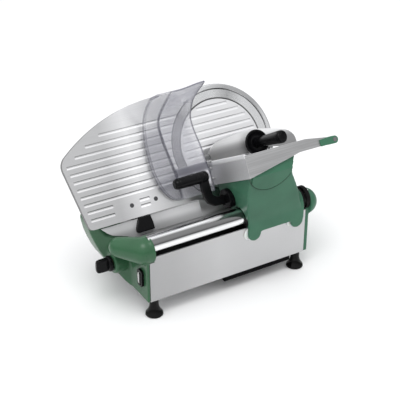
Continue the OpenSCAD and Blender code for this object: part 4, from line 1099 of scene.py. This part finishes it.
@dataclass
class Softened:
    """CAD pieces whose edges are melted round with a fine even mesh: sand castings and thick mouldings.

    Each row holds a node, the size of its even mesh and its rounds of smoothing.
    """

    castings: tuple[tuple[str, float, int], ...] = (
        ("left_end", 2.0, 26), ("right_end", 2.2, 8), ("carriage", 2.2, 14), ("rod_bracket", 1.0, 6),
    )
    mouldings: tuple[tuple[str, float, int], ...] = (
        ("gauge_arm", 1.3, 6), ("handle_stalk", 1.0, 9), ("side_cap", 0.9, 6), ("cover_knob", 0.9, 5),
        ("bottom_pan", 1.8, 4),
    )
    pull: float = 0.5

    def build(self) -> None:
        """Melts the edges of each of them."""
        for name, voxel, rounds in self.castings + self.mouldings:
            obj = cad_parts[name]
            even = obj.modifiers.new("even", "REMESH")
            even.mode, even.voxel_size, even.use_smooth_shade = "VOXEL", voxel * MM, True
            melt = obj.modifiers.new("melt", "SMOOTH")
            melt.factor, melt.iterations = self.pull, rounds
            LOG.info("%s: softened", name)


@dataclass
class SheetEdges:
    """Sheet and plate parts whose cut edges are broken with a small bevel."""

    parts: tuple[str, ...] = ("tray", "pusher_arm", "base_shell", "switch_bezel", "tray_lug")
    width: float = 0.8
    segments: int = 2
    sharp: float = 35.0
    flatness: float = 0.5
    weld: float = 0.001

    def build(self) -> None:
        """Joins the CAD faces of each part and bevels its edges."""
        for name in self.parts:
            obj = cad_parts[name]
            weld = obj.modifiers.new("weld", "WELD")
            weld.merge_threshold = self.weld * MM
            flat = obj.modifiers.new("flat", "DECIMATE")
            flat.decimate_type, flat.angle_limit = "DISSOLVE", math.radians(self.flatness)
            edge = obj.modifiers.new("edge", "BEVEL")
            edge.width, edge.segments, edge.harden_normals = self.width * MM, self.segments, True
            edge.limit_method, edge.angle_limit = "ANGLE", math.radians(self.sharp)
            LOG.info("%s: edges broken", name)


@dataclass
class HandGuard:
    """Clear moulded guard on the tray's left end: upright, stepped forward on its right, curled over on top.

    An ease holds an amount and the two places between which it comes in. A line holds its strength and its
    width.
    """

    low: float = 12.0
    straight: float = 215.0
    knee: Span = (8.0, 258.0)
    lip: Span = (112.0, 298.0)
    depth: float = 6.0
    left: float = 104.0
    left_lean: Ease = (8.0, 170.0, 235.0)
    right: float = 270.0
    right_flare: Ease = (19.5, 48.0, 104.0)
    waist: tuple[Ease, Ease] = ((6.0, 60.0, 120.0), (10.0, 120.0, 205.0))
    corner: Span = (62.0, 118.0)
    lip_corner: Span = (16.0, 14.0)
    lip_rise: float = 7.0
    rise_start: Span = (190.0, 50.0)
    fold_x: float = 170.0
    fold_half: float = 5.0
    fold_lean: Ease = (14.0, 60.0, 205.0)
    fold_return: Ease = (14.0, 5.0, 90.0)
    step: float = 10.0
    step_fade: Span = (20.0, 90.0)
    wall: float = 3.6
    bead: float = 4.0
    bead_edge: Span = (4.0, 7.0)
    border: float = 7.0
    rows: int = 70
    columns: int = 150
    crease: float = 40.0
    # Painted shade on the clear sheet: lines as strength and width, then bands low on the shield and on the
    # left part
    left_line: Span = (0.9, 1.2)
    border_line: Span = (0.75, 1.0)
    fold_line: Span = (1.0, 2.0)
    right_line: Span = (1.0, 2.6)
    lip_line: Span = (0.8, 2.0)
    shield_edge: Span = (-2.0, 4.0)
    foot_band_shade: float = 0.8
    foot_band_shade_start: Span = (70.0, 78.0)
    foot_band_shade_end: Span = (92.0, 98.0)
    flank_shade: float = 0.4
    flank_shade_end: Span = (185.0, 235.0)
    thin_veil: float = 0.10
    shield_veil: float = 0.15
    curl_veil: Ease = (0.38, 30.0, 80.0)
    curl_edge: Span = (-8.0, 30.0)

    def section(self) -> tuple[np.ndarray, np.ndarray, np.ndarray, np.ndarray]:
        """Middle line of the sheet from its side: a straight run, then a quadratic curve from knee to lip.

        Returns:
            Columns n, v and the sheet's forward normal (dn, dv).
        """
        t = np.linspace(0.0, 1.0, self.rows)[1:]
        starts, knees, ends = (self.depth, self.straight), self.knee, self.lip
        n, v = ((1 - t) ** 2 * a + 2 * t * (1 - t) * b + t**2 * c for a, b, c in zip(starts, knees, ends))
        n = np.concatenate([np.full(self.rows, self.depth), n])
        v = np.concatenate([np.linspace(self.low, self.straight, self.rows), v])
        along = np.stack([np.gradient(n), np.gradient(v)])
        along /= np.linalg.norm(along, axis=0)
        return n[:, None], v[:, None], along[1][:, None], -along[0][:, None]

    def edges(self, n: np.ndarray, v: np.ndarray) -> tuple[np.ndarray, np.ndarray, np.ndarray]:
        """Left edge, step and right edge at each height.

        The left edge has an elliptic lower corner, the step leans to the left as it rises, and the right edge
        has a shallow waist.

        Args:
            n, v: columns of the section's depth and height.

        Returns:
            Columns of the three places along X.
        """
        across, upward = self.corner
        drop = np.clip((self.low + upward - v) / upward, 0.0, 1.0)
        left = self.left + across * (1 - np.sqrt(1 - drop**2)) + eased(v, self.left_lean)
        inset, length = self.lip_corner
        left = left + inset * smoothstep(n, self.lip[0] - length, self.lip[0]) ** 2
        fold = self.fold_x - eased(v, self.fold_lean) + eased(n, self.fold_return)
        waist = sum(eased(v, part) for part in self.waist)
        return left, fold, self.right - waist + eased(n, self.right_flare)

    def build(self, wardrobe: Wardrobe) -> None:
        """Builds the sheet as two grids: x = left + u (right - left), set forward by the step and the bead.

        The step fades out along the curl, and the lip rises a little towards its right end.

        Args:
            wardrobe: dresses the guard.
        """
        n, v, dn, dv = self.section()
        left, fold, right = self.edges(n, v)
        x = left + np.linspace(0.0, 1.0, self.columns)[None, :] * (right - left)
        raised = smoothstep(x, fold - self.fold_half, fold + self.fold_half)
        raised = raised * (1 - smoothstep(n, *self.step_fade))
        bead = self.bead * (1 - smoothstep(x - left, *self.bead_edge))
        rise_x, rise_n = self.rise_start
        rise = self.lip_rise * smoothstep(x, rise_x, self.right) * smoothstep(n, rise_n, self.lip[0])
        back = self.step * raised
        front = back + self.wall + bead
        outer, inner = (on_plane(x, v + rise + dv * shift, n + dn * shift) for shift in (front, back))
        obj = Surface.sheet(outer, inner).to_object("hand_guard", self.crease)
        self.marks(obj, n, v, x, (left, fold, right))
        wardrobe.piece(obj, "carriage", CLEAR, "guard")

    def marks(
        self,
        obj: bpy.types.Object,
        n: np.ndarray,
        v: np.ndarray,
        x: np.ndarray,
        edges: tuple[np.ndarray, np.ndarray, np.ndarray],
    ) -> None:
        """Writes the sheet's veil and edge values at its points: painted shade as bell curves round its lines
        and as soft bands.

        Args:
            obj: the guard.
            n, v: columns of the points' depth and height.
            x: grid of the points' places along the slide bar.
            edges: places of the left edge, of the step and of the right edge at each height.
        """
        left, fold, right = edges
        # Painted shade along the edges, the step and the lip, and in bands low on the shield and on the left
        # part
        edge = bell(x - left, self.left_line) + bell(x - left - self.border, self.border_line)
        edge = edge + bell(x - fold, self.fold_line) + bell(x - right, self.right_line)
        edge = edge + bell(n - self.lip[0], self.lip_line)
        shield = smoothstep(x, *(fold + shift for shift in self.shield_edge))
        band = smoothstep(v, *self.foot_band_shade_start) - smoothstep(v, *self.foot_band_shade_end)
        edge = edge + self.foot_band_shade * shield * band
        edge = edge + self.flank_shade * (1 - shield) * (1 - smoothstep(v, *self.flank_shade_end))
        curl = eased(n, self.curl_veil) * smoothstep(x, *(fold + shift for shift in self.curl_edge))
        veil = self.thin_veil + self.shield_veil * shield + curl
        for name, values in (("edge", np.clip(edge, 0.0, 1.0)), ("veil", veil)):
            layer = obj.data.attributes.new(name, "FLOAT", "POINT")
            both_faces = np.concatenate([values, values[::-1]])
            layer.data.foreach_set("value", both_faces.ravel().astype(np.float32))


@dataclass
class PusherHandle:
    """Dished disc that stands square on the pusher's plate, and its grip, which leans a little to the right.

    The profiles hold heights and radii.
    """

    foot: Point = (421.0, 108.5, 30.4)
    tilt: float = 12.0
    disc: Pairs = (
        (-7.5, 0.5), (-7.5, 15.5), (-6.0, 16.0), (1.0, 16.0), (3.0, 19.0), (6.5, 29.0), (9.0, 34.0),
        (12.0, 36.8), (15.0, 37.0), (17.4, 35.0), (17.2, 31.5), (14.5, 27.5), (12.4, 22.0), (12.0, 17.5),
        (12.6, 16.5), (12.2, 13.0), (12.0, 0.5),
    )
    disc_points: int = 96
    grip: Pairs = (
        (11.5, 0.5), (11.5, 13.4), (14.0, 14.6), (17.0, 14.4), (30.0, 14.6), (54.0, 15.6), (86.0, 17.2),
        (104.0, 18.2), (112.0, 18.2), (116.5, 17.0), (118.7, 13.5), (118.2, 10.5), (117.6, 9.5), (117.6, 0.5),
    )
    grip_points: int = 72

    def build(self, wardrobe: Wardrobe) -> None:
        """Turns the disc from its profile along the plane's normal, and the grip along a leaning line.

        Args:
            wardrobe: dresses the two pieces.
        """
        lean = math.radians(self.tilt)
        axis = math.sin(lean) * ALONG_BAR + math.cos(lean) * OUT_OF_PLANE
        start = on_plane(*self.foot)
        disc = turned(rounded(self.disc), start, OUT_OF_PLANE, self.disc_points)
        wardrobe.piece(disc.to_object("pusher_disc", TURNED_CREASE), "pusher", BLACK, "pusher_flange")
        grip = turned(rounded(self.grip), start, axis, self.grip_points)
        wardrobe.piece(grip.to_object("pusher_handle", TURNED_CREASE), "pusher", BLACK, "pusher_grip")


@dataclass
class CarriageHandle:
    """Round grip that the carriage is pushed with, with a ring groove near each end."""

    start: Point = (138.0, 58.0, 52.0)
    profile: Pairs = (
        (0.0, 0.5), (0.2, 7.0), (0.8, 10.0), (3.0, 13.0), (8.0, 14.6), (12.0, 15.0), (13.0, 14.4),
        (14.0, 14.4), (15.0, 15.1), (50.0, 15.7), (86.0, 16.0), (87.0, 15.3), (88.4, 15.3), (89.4, 16.0),
        (97.0, 15.4), (101.0, 13.0), (102.6, 9.5), (103.0, 0.5),
    )
    points: int = 72

    def build(self, wardrobe: Wardrobe) -> None:
        """Turns the grip from its profile along the slide bar's direction."""
        grip = turned(rounded(self.profile, 2), on_plane(*self.start), ALONG_BAR, self.points)
        wardrobe.piece(grip.to_object("carriage_handle", TURNED_CREASE), "carriage", BLACK, "handle_grip")


@dataclass
class IndexKnob:
    """Thickness knob: a round collar and a finger wing."""

    axis_y: float = 125.03
    axis_z: float = 71.4
    collar: Pairs = (
        (53.0, 0.5), (53.0, 20.0), (53.5, 21.4), (55.0, 22.0), (60.0, 22.0), (62.5, 20.5), (64.4, 17.5),
        (65.0, 13.0), (65.0, 0.5),
    )
    wing: Span = (62.0, 96.0)
    half: Span = (7.2, 20.0)
    square: float = 4.5
    end_square: int = 6
    tip: float = 0.002
    end_rows: int = 14
    points: int = 72

    def build(self, wardrobe: Wardrobe) -> None:
        """Joins the turned collar and the wing, a superellipse carried to the left and closed by a dome.

        Args:
            wardrobe: dresses the knob.
        """
        collar = turned(rounded(self.collar, 2), on_base(0.0, self.axis_y, self.axis_z), -ALONG_BAR)
        t, size = domed(self.end_square, self.tip, self.end_rows)
        across, upward = superellipse(self.half, self.square, self.points)
        along = -(self.wing[0] + t * (self.wing[1] - self.wing[0]))
        wing = Surface.tube(on_base(along, self.axis_y + size * across, self.axis_z + size * upward))
        obj = collar.added(wing).to_object("thickness_knob", CARRIED_CREASE)
        wardrobe.piece(obj, "index", BLACK, "index_knob")


@dataclass
class SwitchPaddle:
    """Rocker of the switch on the left end: a paddle with round edges, hollowed behind so it can rock."""

    centre: Span = (33.0, 64.0)
    reach: Span = (10.5, 17.2)
    hollow: float = 2.2
    half: Span = (6.9, 16.8)
    square: float = 5.0
    end_square: int = 8
    tip: float = 0.0005
    end_rows: int = 16
    points: int = 72

    def build(self, wardrobe: Wardrobe) -> None:
        """Carries a superellipse to the left and closes it by a dome; its back recedes towards its ends.

        Args:
            wardrobe: dresses the paddle.
        """
        t, size = domed(self.end_square, self.tip, self.end_rows)
        across, upward = superellipse(self.half, self.square, self.points)
        back = self.reach[0] + self.hollow * np.abs(size * upward) / self.half[1]
        along = -(back + t * (self.reach[1] - back))
        paddle = Surface.tube(on_base(along, self.centre[0] + size * across, self.centre[1] + size * upward))
        wardrobe.piece(paddle.to_object("switch_paddle", CARRIED_CREASE), "rocker", ROCKER, "switch_rocker")


@dataclass
class CarriageTrim:
    """Small parts on the carriage: nylon pads that show beside its lobes, and a painted shadow line below the
    lug.
    """

    pads_x: Span = (307.0, 446.0)
    pad_y: float = -3.0
    pad_z: float = 117.5
    pad: Pairs = ((0.0, 0.5), (0.0, 18.2), (0.5, 19.0), (2.0, 19.0), (2.55, 18.2), (2.55, 0.5))
    # A thin dark tube along the lug's arc: a painted shadow line below the lug
    lug_shadow_centre: Span = (342.0, 338.0)
    lug_shadow_radius: float = 74.6
    lug_shadow_span: Span = (196.0, 327.0)
    lug_shadow_width: float = 0.9
    lug_shadow_rows: int = 90
    lug_shadow_points: int = 10
    front_foot: Span = (-12.0, 150.0)
    front_slope: float = -0.1862
    lug_rise: float = 2.6

    def build(self, wardrobe: Wardrobe) -> None:
        """Turns the pads, and carries a small circle along the lug's arc on the carriage's leaning front.

        Args:
            wardrobe: dresses the two pieces.
        """
        profile = rounded(self.pad, 2)
        left, right = (turned(profile, on_base(x, self.pad_y, self.pad_z), BACKWARD) for x in self.pads_x)
        pads = left.added(right).to_object("lobe_pads", CARRIED_CREASE)
        wardrobe.piece(pads, "carriage", NYLON, "carriage_pads")
        # Painted shadow line: a thin dark tube along the lug's arc
        a = np.radians(np.linspace(*self.lug_shadow_span, self.lug_shadow_rows))[:, None]
        b = round_angles(self.lug_shadow_points)
        reach = self.lug_shadow_radius + self.lug_shadow_width * np.cos(b)
        x = self.lug_shadow_centre[0] + reach * np.cos(a)
        z = self.lug_shadow_centre[1] + reach * np.sin(a)
        front = self.front_foot[0] + self.front_slope * (z - self.front_foot[1])
        lug_shadow = Surface.tube(on_base(x, front - self.lug_rise + self.lug_shadow_width * np.sin(b), z))
        wardrobe.piece(lug_shadow.to_object("lug_shadow_line", CARRIED_CREASE), "carriage", LUG_SHADOW)


@dataclass
class TrayHem:
    """Folded hem along the top of the tray's left wall."""

    centre: Span = (271.2, 86.4)
    half: Span = (3.3, 6.2)
    square: float = 3.0
    run: Span = (43.0, 224.0)
    rows: int = 40
    points: int = 32

    def build(self, wardrobe: Wardrobe) -> None:
        """Carries a superellipse along the wall.

        Args:
            wardrobe: dresses the hem.
        """
        n = np.linspace(*self.run, self.rows)[:, None]
        across, upward = superellipse(self.half, self.square, self.points)
        hem = Surface.tube(on_plane(self.centre[0] + across, self.centre[1] + upward, n))
        wardrobe.piece(hem.to_object("tray_hem", CARRIED_CREASE), "carriage", SATIN)


@dataclass
class ArmSlotCover:
    """Sheet that closes the apron's slot round the gauge plate's arm, and a strip in the deck in front of it.

    The arm's outline has rows of a height v with the arm's left and right side there.
    """

    slot: Span = (20.3, 82.7)
    rise: Span = (-41.2, -3.2)
    depth: Span = (-6.9, -5.5)
    arm: tuple[Point, ...] = (
        (-41.0, 27.0, 74.0), (-37.0, 24.0, 74.0), (-30.0, 24.0, 74.0), (-20.0, 28.0, 73.0),
        (-1.5, 38.0, 70.0),
    )
    gap: float = 0.7
    deck_y: Span = (100.6, 111.6)
    deck_z: Span = (137.6, 138.9)
    sheet_grid: tuple[int, int] = (40, 8)
    deck_grid: tuple[int, int] = (24, 6)

    def build(self, wardrobe: Wardrobe) -> None:
        """Fills from the slot's ends to the arm's outline x(v), and spans the deck's strip at two heights.

        Args:
            wardrobe: dresses the cover.
        """
        heights, *sides = zip(*self.arm)
        v = np.linspace(*self.rise, self.sheet_grid[0])[:, None]
        t = np.linspace(0.0, 1.0, self.sheet_grid[1])[None, :]
        x = np.linspace(*self.slot, self.deck_grid[0])[:, None]
        y = np.linspace(*self.deck_y, self.deck_grid[1])[None, :]
        parts = []
        for end, side, gap in zip(self.slot, sides, (-self.gap, self.gap)):
            reach = end + t * (np.interp(v, heights, side) + gap - end)
            parts.append(Surface.sheet(*(on_plane(reach, v, n) for n in self.depth)))
        deck = Surface.sheet(*(on_base(x, y, z) for z in self.deck_z))
        cover = parts[0].added(parts[1]).added(deck)
        wardrobe.piece(cover.to_object("slot_cover", SHEET_CREASE), "frame", APRON)


@dataclass
class RingGuardTrim:
    """Cap on the upper end of the ring guard, and the lip that runs on from it behind the blade's edge, in
    dark blued steel that also paints shade into the gap there.
    """

    cap_angles: Span = (115.0, 116.4)
    cap_radii: Span = (151.5, 165.8)
    cap_depth: Span = (-47.5, 1.6)
    cap_grid: tuple[int, int] = (8, 16)
    lip_angles: Span = (114.0, 246.0)
    lip_radii: Span = (137.0, 152.6)
    lip_depth: Span = (-16.0, -14.4)
    lip_grid: tuple[int, int] = (120, 6)

    def around(self, radius: np.ndarray, angle: np.ndarray, depth: np.ndarray) -> np.ndarray:
        """Points at a radius and an angle in degrees round the blade's axis, at a depth along it."""
        turn = np.radians(angle)
        return on_plane(BLADE_AXIS_X + radius * np.cos(turn), BLADE_AXIS_V + radius * np.sin(turn), depth)

    def build(self, wardrobe: Wardrobe) -> None:
        """Builds the cap over radius and depth at two angles, the lip over angle and radius at two depths.

        Args:
            wardrobe: dresses the two pieces.
        """
        r = np.linspace(*self.cap_radii, self.cap_grid[0])[:, None]
        n = np.linspace(*self.cap_depth, self.cap_grid[1])[None, :]
        cap = Surface.sheet(*(self.around(r, a, n) for a in self.cap_angles))
        wardrobe.piece(cap.to_object("ring_end", SHEET_CREASE), "frame", RING)
        # Lip in dark blued steel: partly a real lip, partly painted shade in the gap behind the blade's edge
        a = np.linspace(*self.lip_angles, self.lip_grid[0])[:, None]
        r = np.linspace(*self.lip_radii, self.lip_grid[1])[None, :]
        lip = Surface.sheet(*(self.around(r, a, n) for n in self.lip_depth))
        wardrobe.piece(lip.to_object("ring_lip_shade", SHEET_CREASE), "frame", BLUED)


@dataclass
class Studio:
    """Pale sweep, a soft lamp, a grey room and the camera at the photograph's angle."""

    eye: Point = (-1.2493, -2.0929, 1.6244)
    right: Point = (0.85985, -0.51054, 0.0)
    up: Point = (0.25527, 0.42993, 0.86603)
    lens: float = 91.35
    sensor: float = 36.0
    view_end: float = 100.0
    lamp_place: Point = (-0.6, -0.8, 2.6)
    lamp_aim: Point = (0.0, 0.0, 0.2)
    lamp_size: float = 1.2
    lamp_watts: float = 22.0
    sky: Pairs = ((0.0, 0.34), (0.16, 0.38), (0.38, 0.90), (0.75, 1.15), (1.0, 1.2))
    sky_tint: Colour = (0.985, 0.99, 1.0)
    left_share: float = 0.15
    floor_size: float = 30.0
    paper: tuple[Colour, Colour] = ((0.93, 0.93, 0.93), (0.95, 0.95, 0.95))
    paper_scale: float = 3.0
    paper_roughness: float = 0.9

    def camera(self) -> None:
        """Places the camera from its position and its right and upward directions."""
        data = bpy.data.cameras.new("camera")
        data.lens, data.sensor_width, data.clip_end = self.lens, self.sensor, self.view_end
        obj = bpy.data.objects.new("camera", data)
        turn = np.eye(4)
        turn[:3] = np.stack([self.right, self.up, np.cross(self.right, self.up), self.eye], 1)
        obj.matrix_world = Matrix(turn.tolist())
        bpy.context.scene.collection.objects.link(obj)
        bpy.context.scene.camera = obj

    def lamp(self) -> None:
        """Adds one square soft lamp above the slicer's left front."""
        data = bpy.data.lights.new("key", "AREA")
        data.size, data.energy = self.lamp_size, self.lamp_watts
        obj = bpy.data.objects.new("key", data)
        obj.location = self.lamp_place
        aim = Vector(self.lamp_aim) - Vector(self.lamp_place)
        obj.rotation_euler = aim.to_track_quat("-Z", "Y").to_euler()
        bpy.context.scene.collection.objects.link(obj)

    def world(self) -> None:
        """Soft grey room: dim round the horizon, bright overhead, and a little brighter on the left."""
        world = bpy.data.worlds.new("studio")
        world.use_nodes = True
        nodes = Nodes(world.node_tree)
        direction = nodes.add("ShaderNodeTexCoord").outputs["Generated"]
        light = nodes.add("ShaderNodeBackground")
        strengths = (1.0 + self.left_share, 1.0 - self.left_share)
        nodes.join(nodes.bands(nodes.axis(direction, "Z"), self.sky, self.sky_tint), light.inputs["Color"])
        nodes.join(nodes.ranged(nodes.axis(direction, "X"), (-1.0, 1.0), strengths), light.inputs["Strength"])
        nodes.join(light.outputs[0], nodes.add("ShaderNodeOutputWorld").inputs["Surface"])
        bpy.context.scene.world = world

    def floor(self) -> None:
        """Pale matt sweep under the object."""
        half = self.floor_size / 2
        corners = [(-half, -half, 0), (half, -half, 0), (half, half, 0), (-half, half, 0)]
        mesh = bpy.data.meshes.new("sweep")
        mesh.from_pydata(corners, [], [(0, 1, 2, 3)])
        obj = bpy.data.objects.new("sweep", mesh)
        bpy.context.scene.collection.objects.link(obj)
        g = Graph("sweep_paper")
        clouds = g.spread(g.noise(self.paper_scale, FEW_OCTAVES))
        g.set(base_color=g.mix(clouds, *self.paper), roughness=self.paper_roughness)
        mesh.materials.append(g.material)

    def build(self) -> None:
        """Builds camera, room, lamp and floor."""
        bpy.context.scene.view_settings.view_transform = "Standard"
        self.camera()
        self.world()
        self.lamp()
        self.floor()


def main() -> None:
    """Builds every sub-assembly in order and reports its pieces."""
    logging.basicConfig(level=logging.INFO, format="%(name)s: %(message)s")
    wardrobe = Wardrobe()
    for finish, nodes in DRESS.items():
        for name in nodes:
            wardrobe.dress(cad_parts[name], finish)
            LOG.info("%s: %s", name, finish.name)
    Softened().build()
    SheetEdges().build()
    for assembly in (
        HandGuard(), PusherHandle(), CarriageHandle(), IndexKnob(), SwitchPaddle(), CarriageTrim(), TrayHem(),
        ArmSlotCover(), RingGuardTrim(),
    ):
        assembly.build(wardrobe)
    Studio().build()


if __name__ == "__main__":
    main()
